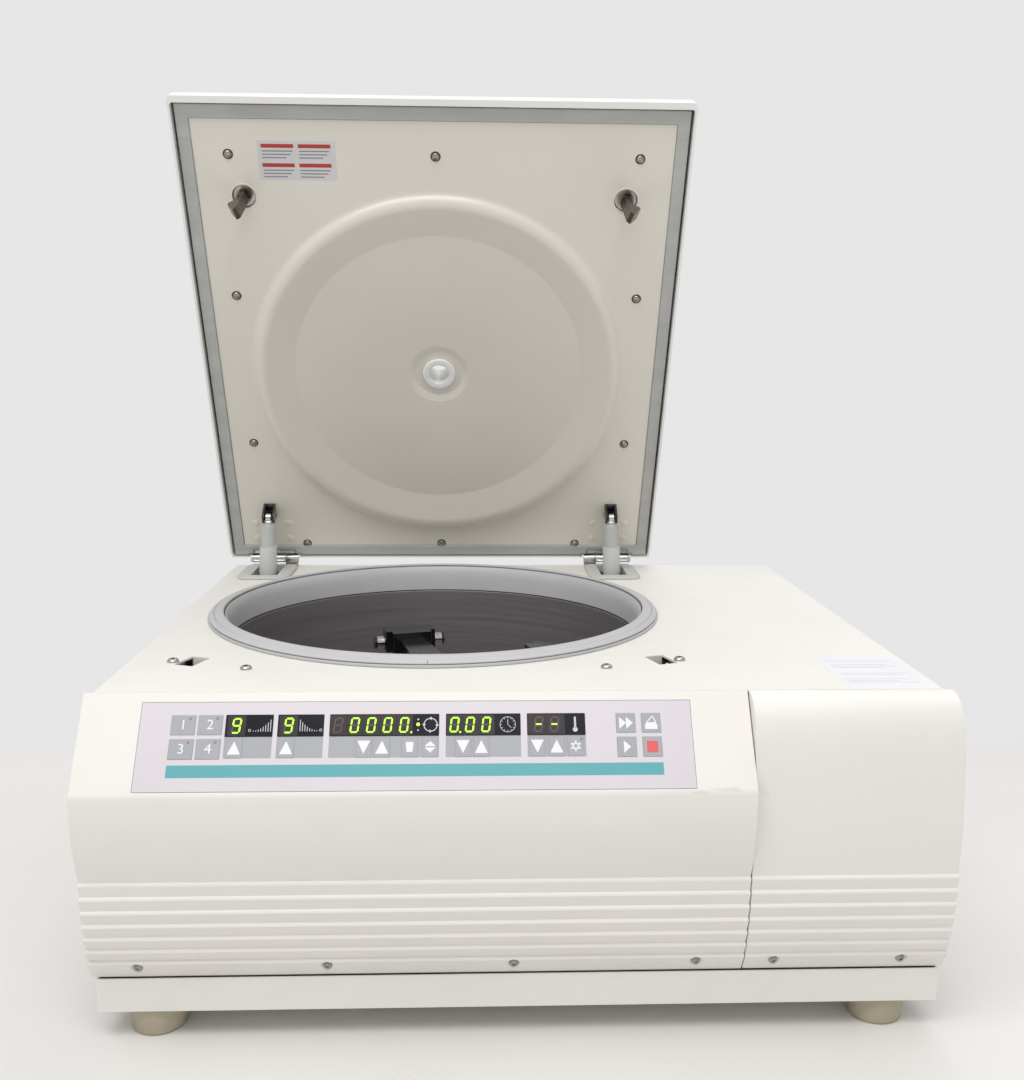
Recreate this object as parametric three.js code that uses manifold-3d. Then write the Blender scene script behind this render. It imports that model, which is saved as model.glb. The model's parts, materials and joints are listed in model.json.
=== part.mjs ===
// Refrigerated laboratory centrifuge, bench model, lid open.
// Millimetres, +Z up, front towards -Y. The origin is on the table, under the middle of the machine.
import * as THREE from 'three';
import { mergeVertices } from 'three/addons/utils/BufferGeometryUtils.js';
import Module from 'manifold-3d';

const wasm = await Module();
wasm.setup();

// ---------- overall sizes ----------
const WIDTH = 740;            // across the front mouldings
const DEPTH = 660;            // nose of the control moulding to the rear edge of the housing
const DECK_Z = 305;           // top of the deck above the table
const FOOT_H = 26;            // underside of the tray above the table
const TRAY_TOP = 56;          // top edge of the tray's upturned walls
const GAP = 0.4;              // clearance between pieces that touch
const ROUND = 48;             // facets round the chamber, the seal and the lid's pressing
const SHEET = 2;              // folded steel sheet
const MOULD = 3.5;            // wall of the plastic front mouldings

// ---------- where things stand ----------
const FRONT = -DEPTH / 2;
const REAR = DEPTH / 2;
const SIDE = WIDTH / 2 - 4;          // outside of the folded housing
const SEAM_Y = FRONT + 49;           // back edge of the front mouldings
const SEAM_X = WIDTH / 2 - 178;      // joint between the control moulding and the side moulding
const HINGE_Y = REAR - 16.4;
const HINGE_Z = DECK_Z + 10;
const CONTROL_X = -WIDTH / 2 + 370;  // zero of the control face's x, from the left side

// ---------- front mouldings ----------
const SLOPE_DROP = 71.5;      // height of the sloping control face
const NOSE_FLAT = 11.5;       // upright part of the nose under the control face
const RIB_TOP = 152.6;        // top edge of the ribbed zone
const RIB_COUNT = 7;
const RIB_PITCH = 12.8;
const RIB_LEDGE = 2.2;        // how far each rib stands out at its top edge
const RIB_SET = 15;           // nose to the top of the ribs, front to back
const RIB_TUCK = 21.5;        // how far the ribbed zone tucks in towards its foot
const MOULD_FOOT = TRAY_TOP + 1;
const TOE_SETBACK = 34;       // nose to the tray's front wall
const SEAM_GAP = 1;

// ---------- control foil and keys ----------
const FOIL = { x0: -319.7, x1: 140.7, s0: 8.8, s1: 83.5, thick: 1.1 };
const BOARD_OPENING = { x0: -300, x1: 121, s0: 15, s1: 62 };
const KEY_PROUD = 0.3;
const KEY_THICK = 1.9;
const KEY_ROW_1 = [20.2, 36.4];   // distances down the control face
const KEY_ROW_2 = [40.4, 56.8];
const KEY_STRIP = [39.4, 56.0];

// ---------- chamber, seal and rotor ----------
const BOWL_R = 223.5;
const BOWL_WALL = 2;
const BOWL_RIM_DROP = 24;     // bowl rim below the deck
const BOWL_DEPTH = 151;
const BOWL_FILLET = 20;
const SPINDLE_HOLE_R = 26;
const COLLAR_R = BOWL_R + 6.9;       // outside of the collar between seal and bowl
const LIP_R = COLLAR_R + 1.6;        // inner lip of the seal
const DECK_HOLE_R = COLLAR_R + 7.6;
const GASKET_R = DECK_HOLE_R + 10.5;
const ARMOUR_R = BOWL_R + 20.5;
const ARMOUR_WALL = 8;
const ROTOR_TURN = 16;        // degrees that the rotor happens to stand turned
const ROTOR_TOP_DROP = 54;    // top of the arm heads below the deck
const ARM_REACH = 150;
const HEAD_WIDTH = 62;
const HEAD_LENGTH = 36;
const HEAD_HEIGHT = 26;
const ARM_WIDTH = 40;
const HUB_R = 34;
const STUD_R = 7.5;
const STUD_SPAN = 88;
const SHAFT_R = 12;
const MOTOR_R = 72;

// ---------- lid ----------
const OPEN_DEGREES = 64.5;
const LID_HALF = GASKET_R + 36.1;
const LID_LENGTH = HINGE_Y - SEAM_Y + 11.4;
const LID_THICK = 44;
const LID_SKIRT = 6;
const LID_WALL = 2.6;
const LID_LIP = 7.4;          // front edge of the lid
const NOSE = { foot: 8, run: 16, fold: 8 };  // upright part, raked part and fold of the lid's front
const SEAL_WIDTH = 14;
const SEAL_GAP = 2.4;         // dark gap between the seal and the outer shell
const SEAL_THICK = 5;
const PANEL_SINK = 2;         // inner panel behind the face of the seal
const PANEL_SHEET = 1.8;
const BEAD_R = BOWL_R - 0.5;
const DISC_R = BEAD_R - 46.4;
const DISC_SINK = 6;
const BUSH_R = 17.9;
const BUSH_FLANGE_R = 20;
const PORT_R = 12.3;

// ---------- hinges, gas springs and lid lock ----------
const HINGE_INSET = 58.6;     // middle of each hinge from the side of the lid
const HINGE_OFFSET = LID_HALF - HINGE_INSET;
const HINGE_LONG = 47;
const HINGE_SHORT = 17;
const BARREL_R = 5.5;
const PIN_R = 3;
const FORK_V = 74;            // gas spring's upper pivot, from the hinge along the lid
const FORK_W = -13;           // and out from the lid's face
const ANCHOR_Y = HINGE_Y - FORK_V - 17.6;
const ANCHOR_Z = 140;         // lower pivot inside the housing
const TUBE_R = 9.8;
const SLEEVE_R = 11.3;
const TUBE_TOP = 12;
const TUBE_END = 35;
const SLEEVE_END = 138;
const ROD_R = 4;
const ROD_INSIDE = 26;        // rod left in the cylinder when the lid is open
const BORE_END = 24;
const BEZEL_HALF = 33;
const SLOT_HALF = 18;
const SLOT_FRONT = HINGE_Y - FORK_V - 17.1;
const SLOT_BACK = HINGE_Y - 18;
const HOOK_OFFSET = LID_HALF - 69.6;
const HOOK_V = LID_LENGTH - 110;
const HOOK_TURN = 20;         // degrees that each hook is turned outwards
const HOOK_REACH = 60;
const HOOK_SHOULDER = 24;
const HOOK_SHANK = 8;
const HOOK_DEPTH = 12;
const HOOK_BARB = 7;
const HOOK_PLATE_R = 12.8;
const HOOK_SLOT = [20, 32];
const CATCH_TRAVEL = 8;

// ---------- middle of the lid, the chamber and the rotor ----------
const LID_MARGIN = 0.4;       // side of the lid to the side of the mouldings
const BEZEL_FRONT = SLOT_FRONT - 13.5;
const SEAL_TO_BEZEL = 13.865; // seal ring to the corner of each slot bezel
const LID_X = -WIDTH / 2 + LID_HALF + LID_MARGIN;
const CHAMBER_Y = BEZEL_FRONT - SEAL_TO_BEZEL
  - Math.sqrt(GASKET_R ** 2 - (HINGE_OFFSET - BEZEL_HALF) ** 2);
const RIGHT_BAY_X = (LID_X + ARMOUR_R + WIDTH / 2) / 2;
const RAD = Math.PI / 180;

// ---------- materials ----------
const finish = (color, roughness, metalness = 0) =>
  new THREE.MeshStandardMaterial({ color, roughness, metalness });
const paint = finish(0xf1f0ec, 0.45);
const moulding = finish(0xeeebe6, 0.5);
const lidPaint = finish(0xf4f3f0, 0.4);
const creamPaint = finish(0xdad3c6, 0.45);
const sealGrey = finish(0xa9aaa6, 0.7);
const gasketGrey = finish(0xc2c5c6, 0.6);
const collarGrey = finish(0xb0b2b6, 0.5);
const bezelGrey = finish(0xc6c7c3, 0.5);
const foilGrey = finish(0xdedae2, 0.4);
const keyGrey = finish(0xa0a3a8, 0.5);
const stopRed = finish(0xe85a64, 0.5);
const stainless = finish(0x5f5c60, 0.35, 0.9);
const brightSteel = finish(0xc9cbcd, 0.25, 1);
const darkSteel = finish(0x3a332c, 0.4, 0.8);
const galvanised = finish(0x9da1a3, 0.5, 0.8);
const rotorBlack = finish(0x141416, 0.35, 0.3);
const blackPlastic = finish(0x1c1c1e, 0.5);
const whitePlastic = finish(0xf4f4f2, 0.4);
const tanRubber = finish(0xb9ab8c, 0.8);
const finStock = finish(0xb8bcbf, 0.4, 0.7);

// ---------- shape helpers ----------
const UP_X = new THREE.Matrix4().makeBasis(
  new THREE.Vector3(0, 1, 0), new THREE.Vector3(0, 0, 1), new THREE.Vector3(1, 0, 0));
const UP_Y = new THREE.Matrix4().makeBasis(
  new THREE.Vector3(1, 0, 0), new THREE.Vector3(0, 0, 1), new THREE.Vector3(0, -1, 0));

function solid(geometry) {
  const bare = geometry.clone();
  bare.deleteAttribute('normal');
  bare.deleteAttribute('uv');
  const merged = mergeVertices(bare, 1e-4);
  const mesh = new wasm.Mesh({
    numProp: 3,
    vertProperties: new Float32Array(merged.attributes.position.array),
    triVerts: new Uint32Array(merged.index.array),
  });
  mesh.merge();
  return new wasm.Manifold(mesh);
}

function geometryOf(body) {
  const mesh = body.getMesh();
  const geometry = new THREE.BufferGeometry();
  geometry.setAttribute('position', new THREE.BufferAttribute(mesh.vertProperties, 3));
  geometry.setIndex(new THREE.BufferAttribute(mesh.triVerts, 1));
  geometry.computeVertexNormals();
  return geometry;
}

const join = (first, ...rest) => rest.reduce((whole, piece) => whole.add(piece), first);
const cut = (first, ...rest) => rest.reduce((whole, piece) => whole.subtract(piece), first);

function block(x0, x1, y0, y1, z0, z1) {
  const geometry = new THREE.BoxGeometry(x1 - x0, y1 - y0, z1 - z0);
  geometry.translate((x0 + x1) / 2, (y0 + y1) / 2, (z0 + z1) / 2);
  return solid(geometry);
}

function outline(points) {
  return new THREE.Shape(points.map(([a, b]) => new THREE.Vector2(a, b)));
}

function extrude(shape, depth) {
  return new THREE.ExtrudeGeometry(shape, { depth, bevelEnabled: false, curveSegments: 6 });
}

// A prism along X from an outline of (y, z) points.
function prismX(points, x0, x1) {
  const geometry = extrude(outline(points), x1 - x0).applyMatrix4(UP_X);
  geometry.translate(x0, 0, 0);
  return solid(geometry);
}

// A prism along Y from an outline of (x, z) points.
function prismY(points, y0, y1) {
  const geometry = extrude(outline(points), y1 - y0).applyMatrix4(UP_Y);
  geometry.translate(0, y1, 0);
  return solid(geometry);
}

// A prism along Z from an outline of (x, y) points.
function prismZ(points, z0, z1) {
  const geometry = extrude(outline(points), z1 - z0);
  geometry.translate(0, 0, z0);
  return solid(geometry);
}

function roundedRectangle(x0, x1, y0, y1, radius, steps = 5) {
  const corners = [[x1 - radius, y1 - radius, 0], [x0 + radius, y1 - radius, 90],
    [x0 + radius, y0 + radius, 180], [x1 - radius, y0 + radius, 270]];
  const points = [];
  for (const [cx, cy, start] of corners) {
    for (let i = 0; i <= steps; i += 1) {
      const angle = (start + (90 * i) / steps) * RAD;
      points.push([cx + radius * Math.cos(angle), cy + radius * Math.sin(angle)]);
    }
  }
  return points;
}

// A turned piece about the Z axis through (x, y); the profile is a closed loop of (radius, z).
function turned(profile, x = 0, y = 0, segments = ROUND) {
  const loop = [...profile, profile[0]].map(([r, z]) => new THREE.Vector2(r, z));
  const geometry = new THREE.LatheGeometry(loop, segments);
  geometry.rotateX(Math.PI / 2);
  geometry.translate(x, y, 0);
  const body = solid(geometry);
  return body.volume() < 0 ? solid(flipped(geometry)) : body;
}

function flipped(geometry) {
  const turnedOut = geometry.clone();
  const order = Array.from(turnedOut.index.array);
  for (let i = 0; i < order.length; i += 3) {
    [order[i + 1], order[i + 2]] = [order[i + 2], order[i + 1]];
  }
  turnedOut.setIndex(order);
  return turnedOut;
}

function pillar(x, y, z0, z1, radius, segments = 24, topRadius = radius) {
  const geometry = new THREE.CylinderGeometry(topRadius, radius, z1 - z0, segments);
  geometry.rotateX(Math.PI / 2);
  geometry.translate(x, y, (z0 + z1) / 2);
  return solid(geometry);
}

function axleX(x0, x1, y, z, radius, segments = 20) {
  const geometry = new THREE.CylinderGeometry(radius, radius, x1 - x0, segments);
  geometry.rotateZ(-Math.PI / 2);
  geometry.translate((x0 + x1) / 2, y, z);
  return solid(geometry);
}

function axleY(x, y0, y1, z, radius, segments = 32) {
  const geometry = new THREE.CylinderGeometry(radius, radius, y1 - y0, segments);
  geometry.translate(x, (y0 + y1) / 2, z);
  return solid(geometry);
}

// The same curve, moved sideways by a distance; used for the inner face of a thin wall.
function offsetPath(points, distance) {
  return points.map((point, i) => {
    const before = points[Math.max(i - 1, 0)];
    const after = points[Math.min(i + 1, points.length - 1)];
    const along = new THREE.Vector2(after[0] - before[0], after[1] - before[1]).normalize();
    return [point[0] - along.y * distance, point[1] + along.x * distance];
  });
}

function bend(from, control, to, steps) {
  const curve = new THREE.QuadraticBezierCurve(
    new THREE.Vector2(...from), new THREE.Vector2(...control), new THREE.Vector2(...to));
  return curve.getPoints(steps).map((point) => [point.x, point.y]);
}

const centrifuge = new THREE.Group();

function add(name, body, material, parent = centrifuge) {
  const mesh = new THREE.Mesh(geometryOf(body), material);
  mesh.name = name;
  parent.add(mesh);
  return mesh;
}

const SIDES = [['left', -1], ['right', 1]];
const span = (a, b) => [Math.min(a, b), Math.max(a, b)];

// ---------- tray and feet ----------
function baseTray() {
  const front = FRONT + TOE_SETBACK;
  const back = REAR - 1;
  const pan = cut(
    block(-SIDE, SIDE, front, back, FOOT_H, TRAY_TOP),
    block(-SIDE + SHEET, SIDE - SHEET, front + SHEET, back - SHEET, FOOT_H + SHEET, TRAY_TOP + 1));
  const brackets = SIDES.map(([, side]) => springAnchor(side));
  return join(pan, ...brackets);
}

// Upright steel bracket with the ball stud that the gas spring's rod is clipped on.
const BRACKET = { stand: 9, thick: 3, half: 16, above: 14 };
const STUD_GAP = 0.7;
const ROD_EYE_HALF = 4;

function springAnchor(side) {
  const x = LID_X + side * HINGE_OFFSET;
  const face = x - side * BRACKET.stand;
  const inner = face - side * BRACKET.thick;
  const tip = x - side * (ROD_EYE_HALF + STUD_GAP);
  const plate = block(...span(inner, face), ANCHOR_Y - BRACKET.half, ANCHOR_Y + BRACKET.half,
    FOOT_H + SHEET / 2, ANCHOR_Z + BRACKET.above);
  const stud = axleX(...span(tip, inner), ANCHOR_Y, ANCHOR_Z, ROD_EYE_HALF, 16);
  return join(plate, stud);
}

const FOOT_R = { foot: 24, top: 26.5 };
const FOOT_INSET = { x: 45, front: 29, rear: 45 };

function feet() {
  const reachX = SIDE - FOOT_INSET.x;
  const frontY = FRONT + TOE_SETBACK + FOOT_INSET.front;
  const backY = REAR - FOOT_INSET.rear;
  for (const [sideName, side] of SIDES) {
    for (const [endName, y] of [['front', frontY], ['rear', backY]]) {
      const foot = pillar(side * reachX, y, 0, FOOT_H - GAP, FOOT_R.foot, 28, FOOT_R.top);
      add(`foot_${endName}_${sideName}`, foot, tanRubber);
    }
  }
}

// ---------- housing ----------
const COVER_FOOT = TRAY_TOP + GAP;
const FOLD_R = 6;
const REAR_FOLD_R = 18;
const REAR_LIP = 20;
const REAR_SILL = 40;         // deck to the top of the rear opening
const LOUVRES = { count: 9, pitch: 22, wide: 6, first: REAR - 250, drop: 85, tall: 80 };
const CUTTER = 10;            // how far a cutting block runs past a sheet

function coverSolid(inset) {
  const side = SIDE - inset;
  const top = DECK_Z - inset;
  const fold = FOLD_R - inset;
  const rearFold = REAR_FOLD_R - inset;
  const floor = inset ? COVER_FOOT - CUTTER : COVER_FOOT;
  const across = [[-side, floor], [side, floor],
    ...bend([side, top - fold], [side, top], [side - fold, top], 5),
    ...bend([-side + fold, top], [-side, top], [-side, top - fold], 5)];
  const back = REAR - inset;
  const front = inset ? SEAM_Y - CUTTER : SEAM_Y + GAP;
  const along = [[front, floor], [back, floor],
    ...bend([back, top - rearFold], [back, top], [back - rearFold, top], 6), [front, top]];
  return prismY(across, front, back).intersect(prismX(along, -side, side));
}

function hookSlot(side, z0, z1) {
  const [wide, long] = HOOK_SLOT;
  const shift = side * HOOK_BARB / 2;
  const plan = roundedRectangle(shift - wide / 2, shift + wide / 2, -long / 2, long / 2, 3, 3);
  return prismZ(plan, z0, z1)
    .rotate([0, 0, side * HOOK_TURN])
    .translate([LID_X + side * HOOK_OFFSET, HINGE_Y - HOOK_V, 0]);
}

function housingCover() {
  const under = DECK_Z - CUTTER;
  const over = DECK_Z + CUTTER;
  let cover = cut(coverSolid(0), coverSolid(SHEET));
  cover = cut(cover, pillar(LID_X, CHAMBER_Y, under, over, DECK_HOLE_R, ROUND));
  for (const [, side] of SIDES) {
    const x = LID_X + side * HINGE_OFFSET;
    cover = cut(cover,
      block(x - SLOT_HALF - 1, x + SLOT_HALF + 1, SLOT_FRONT - 1, SLOT_BACK + 1, under, over),
      hookSlot(side, under, over));
  }
  cover = cut(cover, block(-SIDE + REAR_LIP, SIDE - REAR_LIP, REAR - CUTTER / 2, REAR + CUTTER,
    COVER_FOOT + REAR_LIP, DECK_Z - REAR_SILL));
  for (let i = 0; i < LOUVRES.count; i += 1) {
    const y = LOUVRES.first + i * LOUVRES.pitch;
    const top = DECK_Z - LOUVRES.drop;
    cover = cut(cover, block(SIDE - CUTTER, SIDE + CUTTER, y, y + LOUVRES.wide, top - LOUVRES.tall, top));
  }
  return cover;
}

// Recessed rear panel with air slots, the inlet's hole, the switch's hole and the fan's grille.
const PANEL_Y = REAR - 10;
const PANEL_FACE = PANEL_Y + SHEET;
const INLET = { x: -SIDE + 70, z: 96, wide: 27, tall: 21 };
const SWITCH = { x: -SIDE + 130, z: 96, wide: 19, tall: 25 };
const FAN = { x: RIGHT_BAY_X, z: 160, r: 64 };
const GRILLE = { rows: 4, pitch: 14, half: 4 };
const AIR_SLOTS = { count: 10, pitch: 24, wide: 8, first: LID_X - 110, low: 130, high: 210 };

function panelHole(x, z, wide, tall) {
  return block(x - wide / 2, x + wide / 2, PANEL_Y - CUTTER, PANEL_Y + CUTTER, z - tall / 2, z + tall / 2);
}

function rearPanel() {
  let panel = block(-SIDE + SHEET + GAP, SIDE - SHEET - GAP, PANEL_Y, PANEL_FACE,
    TRAY_TOP + GAP, DECK_Z - REAR_SILL + CUTTER);
  panel = cut(panel,
    panelHole(INLET.x, INLET.z, INLET.wide + 1, INLET.tall + 1),
    panelHole(SWITCH.x, SWITCH.z, SWITCH.wide + 3, SWITCH.tall + 3));
  for (let row = -GRILLE.rows; row <= GRILLE.rows; row += 1) {
    const rise = row * GRILLE.pitch;
    const wide = 2 * Math.sqrt(FAN.r ** 2 - rise ** 2);
    panel = cut(panel, panelHole(FAN.x, FAN.z + rise, wide, 2 * GRILLE.half));
  }
  for (let i = 0; i < AIR_SLOTS.count; i += 1) {
    const x = AIR_SLOTS.first + i * AIR_SLOTS.pitch;
    const middle = (AIR_SLOTS.low + AIR_SLOTS.high) / 2;
    panel = cut(panel, panelHole(x, middle, AIR_SLOTS.wide, AIR_SLOTS.high - AIR_SLOTS.low));
  }
  return panel;
}

function mainsInlet() {
  const { x, z, wide, tall } = INLET;
  const rim = 2;
  const border = 6.5;
  const bottom = PANEL_Y - 22;
  const floor = bottom + 6;
  const outline = roundedRectangle(x - wide / 2 - border, x + wide / 2 + border,
    z - tall / 2 - border / 2, z + tall / 2 + border / 2, 4);
  const flange = prismY(outline, PANEL_FACE + GAP, PANEL_FACE + GAP + 3);
  const body = block(x - wide / 2, x + wide / 2, bottom, PANEL_FACE + 1, z - tall / 2, z + tall / 2);
  const socket = block(x - wide / 2 + rim, x + wide / 2 - rim, floor, PANEL_FACE + 20,
    z - tall / 2 + rim, z + tall / 2 - rim);
  const pins = [-7, 0, 7].map((dx) =>
    block(x + dx - 1.2, x + dx + 1.2, floor - 1, PANEL_Y - 1, z - 3, z + 3));
  return join(cut(join(flange, body), socket), ...pins);
}

// Rocker of the mains switch, rocking about a pin across it.
function powerSwitch() {
  const y = PANEL_FACE;
  const { x, z } = SWITCH;
  const end = SWITCH.tall / 2;
  const profile = [[y - 9, z - 3], [y + 1, z - end], [y + 4, z - end], [y + 1.6, z],
    [y + 4, z + end], [y + 1, z + end], [y - 9, z + 3]];
  return prismX(profile, x - SWITCH.wide / 2, x + SWITCH.wide / 2);
}

// ---------- front mouldings ----------
function ribFace(z) {
  const t = (RIB_TOP - z) / (RIB_TOP - MOULD_FOOT);
  return FRONT + RIB_SET + RIB_TUCK * t * t;
}

function ribbedPath() {
  const points = [];
  for (let i = 0; i < RIB_COUNT; i += 1) {
    const top = RIB_TOP - i * RIB_PITCH;
    const foot = top - RIB_PITCH;
    points.push([ribFace(top) - RIB_LEDGE * 0.7, top - 0.9]);
    points.push([ribFace(top) - RIB_LEDGE, top - 2.6]);
    points.push([ribFace(foot), foot]);
  }
  points.push([ribFace(MOULD_FOOT), MOULD_FOOT]);
  return points;
}

function plainRibPath() {
  const points = [];
  for (let i = 1; i <= 6; i += 1) {
    const z = RIB_TOP + ((MOULD_FOOT - RIB_TOP) * i) / 6;
    points.push([ribFace(z), z]);
  }
  return points;
}

const EDGE_Z = DECK_Z - SLOPE_DROP;

const consolePath = () => [
  [SEAM_Y, DECK_Z], [FRONT + 2.2, EDGE_Z + 1.6], [FRONT + 0.6, EDGE_Z - 0.6], [FRONT, EDGE_Z - 3.4],
  ...bend([FRONT, EDGE_Z - NOSE_FLAT], [FRONT, EDGE_Z - NOSE_FLAT - 32],
    [ribFace(RIB_TOP), RIB_TOP], 8)];

const sidePath = () => [
  ...bend([SEAM_Y, DECK_Z], [FRONT + 21, DECK_Z], [FRONT + 16, DECK_Z - 43], 8),
  ...bend([FRONT + 16, DECK_Z - 43], [FRONT + 9, DECK_Z - 105], [ribFace(RIB_TOP), RIB_TOP], 7).slice(1)];

function frontMoulding(path, x0, x1) {
  const outer = [...path, ...ribbedPath(), [SEAM_Y, MOULD_FOOT]];
  const wall = offsetPath([...path, ...plainRibPath()], MOULD);
  const inner = [[SEAM_Y + 5, DECK_Z - MOULD], [SEAM_Y, DECK_Z - MOULD],
    ...wall.filter(([, z]) => z < DECK_Z - MOULD - 0.5 && z > MOULD_FOOT + MOULD),
    [ribFace(MOULD_FOOT) + MOULD, MOULD_FOOT + MOULD], [SEAM_Y + 5, MOULD_FOOT + MOULD]];
  return cut(prismX(outer, x0, x1), prismX(inner, x0 + MOULD, x1 - MOULD));
}

// Control face: local x along the machine, local -y down the slope, local z out of the face.
const CONTROL_TILT = Math.atan2(SLOPE_DROP, SEAM_Y - FRONT - 1);
const controls = new THREE.Group();
controls.position.set(CONTROL_X, SEAM_Y, DECK_Z);
controls.rotation.x = CONTROL_TILT;
centrifuge.add(controls);
controls.updateMatrix();

function onSlope(body) {
  const geometry = geometryOf(body).applyMatrix4(controls.matrix);
  return solid(geometry);
}

function frontFascia() {
  const pocket = block(FOIL.x0 - GAP, FOIL.x1 + GAP, -FOIL.s1 - GAP, -FOIL.s0 + GAP,
    -FOIL.thick - GAP, 8);
  const window = block(BOARD_OPENING.x0, BOARD_OPENING.x1, -BOARD_OPENING.s1, -BOARD_OPENING.s0,
    -MOULD - 6, 8);
  const shell = frontMoulding(consolePath(), -WIDTH / 2, SEAM_X - SEAM_GAP / 2);
  return cut(shell, onSlope(pocket), onSlope(window));
}

// Each key: name, left and right edge, top and bottom distance down the control face.
const arrow = (name, x, half = 6.4) => [name, x - half, x + half, ...KEY_STRIP];
const KEYS = [
  ['key_1', -293.8, -274.2, ...KEY_ROW_1],
  ['key_2', -271.6, -252, ...KEY_ROW_1],
  ['key_3', -293.8, -274.2, ...KEY_ROW_2],
  ['key_4', -271.6, -252, ...KEY_ROW_2],
  arrow('key_acceleration_up', -240.6),
  arrow('key_braking_up', -197.9),
  arrow('key_speed_down', -134.1),
  arrow('key_speed_up', -119),
  arrow('key_rotor_select', -96.1),
  arrow('key_unit_change', -79.1),
  arrow('key_time_down', -51.8),
  arrow('key_time_up', -36.6),
  arrow('key_temperature_down', 10.1),
  arrow('key_temperature_up', 26.2),
  arrow('key_precool', 42.1),
  ['key_quick_run', 77.1, 92.9, ...KEY_ROW_1],
  ['key_lid_open', 98.5, 114.3, ...KEY_ROW_1],
  ['key_start', 77.1, 92.9, ...KEY_ROW_2],
  ['key_stop', 98.5, 114.3, ...KEY_ROW_2],
];

function controlFoil() {
  const openings = KEYS.map(([, x0, x1, s0, s1]) =>
    block(x0 - GAP, x1 + GAP, -s1 - GAP, -s0 + GAP, -FOIL.thick - 1, 1));
  return cut(block(FOIL.x0, FOIL.x1, -FOIL.s1, -FOIL.s0, -FOIL.thick, 0), ...openings);
}

function keys() {
  for (const [name, x0, x1, s0, s1] of KEYS) {
    const cap = block(x0, x1, -s1, -s0, KEY_PROUD - KEY_THICK, KEY_PROUD);
    add(name, cap, name === 'key_stop' ? stopRed : keyGrey, controls);
  }
}

// ---------- chamber ----------
const RIM_Z = DECK_Z - BOWL_RIM_DROP;
const BOWL_FLOOR = RIM_Z - BOWL_DEPTH;

const FLOOR_TOP = BOWL_FLOOR + BOWL_WALL;
const FLOOR_SEAM = FLOOR_TOP + BOWL_FILLET;  // welded joint between the bowl's wall and its floor

function chamberBowl() {
  const flange = COLLAR_R - 1;
  const outside = BOWL_R + BOWL_WALL;
  return turned([[BOWL_R, FLOOR_SEAM + GAP], [BOWL_R, RIM_Z], [flange, RIM_Z], [flange, RIM_Z - BOWL_WALL],
    [outside, RIM_Z - BOWL_WALL], [outside, FLOOR_SEAM + GAP]], LID_X, CHAMBER_Y);
}

function chamberFloor() {
  const inner = bend([BOWL_R - BOWL_FILLET, FLOOR_TOP], [BOWL_R, FLOOR_TOP], [BOWL_R, FLOOR_SEAM], 3);
  const outer = bend([BOWL_R + BOWL_WALL, BOWL_FLOOR + BOWL_FILLET], [BOWL_R + BOWL_WALL, BOWL_FLOOR],
    [BOWL_R - BOWL_FILLET, BOWL_FLOOR], 3);
  return turned([[SPINDLE_HOLE_R, FLOOR_TOP], ...inner, [BOWL_R + BOWL_WALL, FLOOR_SEAM], ...outer,
    [SPINDLE_HOLE_R, BOWL_FLOOR]], LID_X, CHAMBER_Y);
}

function chamberCollar() {
  const foot = RIM_Z + GAP;
  const top = DECK_Z + 6.5;
  return turned([[COLLAR_R, top], [COLLAR_R - 2, foot], [COLLAR_R - 5, foot],
    [COLLAR_R - 4.4, foot + 18], [COLLAR_R - 1.2, top]], LID_X, CHAMBER_Y);
}

function chamberGasket() {
  const base = DECK_Z + GAP;
  return turned([[GASKET_R, base], [GASKET_R, base + 1.8], [GASKET_R - 2.2, base + 4],
    [GASKET_R - 4.2, base + 3], [GASKET_R - 5.4, base + 6], [GASKET_R - 12, base + 8.8],
    [LIP_R, base + 9.2], [LIP_R - 0.8, DECK_Z - 5], [DECK_HOLE_R - GAP, DECK_Z - 5],
    [DECK_HOLE_R - GAP, base]], LID_X, CHAMBER_Y);
}

function armourRing() {
  const low = BOWL_FLOOR + 8;
  const high = RIM_Z - 8;
  return turned([[ARMOUR_R, low], [ARMOUR_R, high], [ARMOUR_R - ARMOUR_WALL, high],
    [ARMOUR_R - ARMOUR_WALL, low]], LID_X, CHAMBER_Y, 36);
}

// ---------- drive and rotor ----------
const ROTOR_TOP = DECK_Z - ROTOR_TOP_DROP;
const HUB_FOOT = ROTOR_TOP - 52;
const SHAFT_TOP = ROTOR_TOP - 16;
const SHAFT_CONE = 4;         // how much thinner the shaft is at its top
const SEAT_DROP = 22;         // rotor top to the seat of the lock screw
const SCREW_R = 20;
const MOTOR_TOP = BOWL_FLOOR - 10;
const TRAY_FLOOR = FOOT_H + SHEET;

function driveMotor() {
  const can = pillar(LID_X, CHAMBER_Y, TRAY_FLOOR + 8, MOTOR_TOP, MOTOR_R, 28);
  const legCircle = MOTOR_R + 16;
  const legs = [0, 1, 2].map((i) => {
    const angle = (90 + i * 120) * RAD;
    const x = LID_X + legCircle * Math.cos(angle);
    const y = CHAMBER_Y + legCircle * Math.sin(angle);
    return pillar(x, y, TRAY_FLOOR + GAP, TRAY_FLOOR + 30, 12, 14);
  });
  const flange = pillar(LID_X, CHAMBER_Y, TRAY_FLOOR + 18, TRAY_FLOOR + 28, legCircle + 8, 28);
  const boss = pillar(LID_X, CHAMBER_Y, MOTOR_TOP - 1, MOTOR_TOP + 6, 24, 24);
  const bore = pillar(LID_X, CHAMBER_Y, TRAY_FLOOR + 20, MOTOR_TOP + 10, SHAFT_R + GAP, 24);
  return cut(join(can, flange, boss, ...legs), bore);
}

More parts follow.
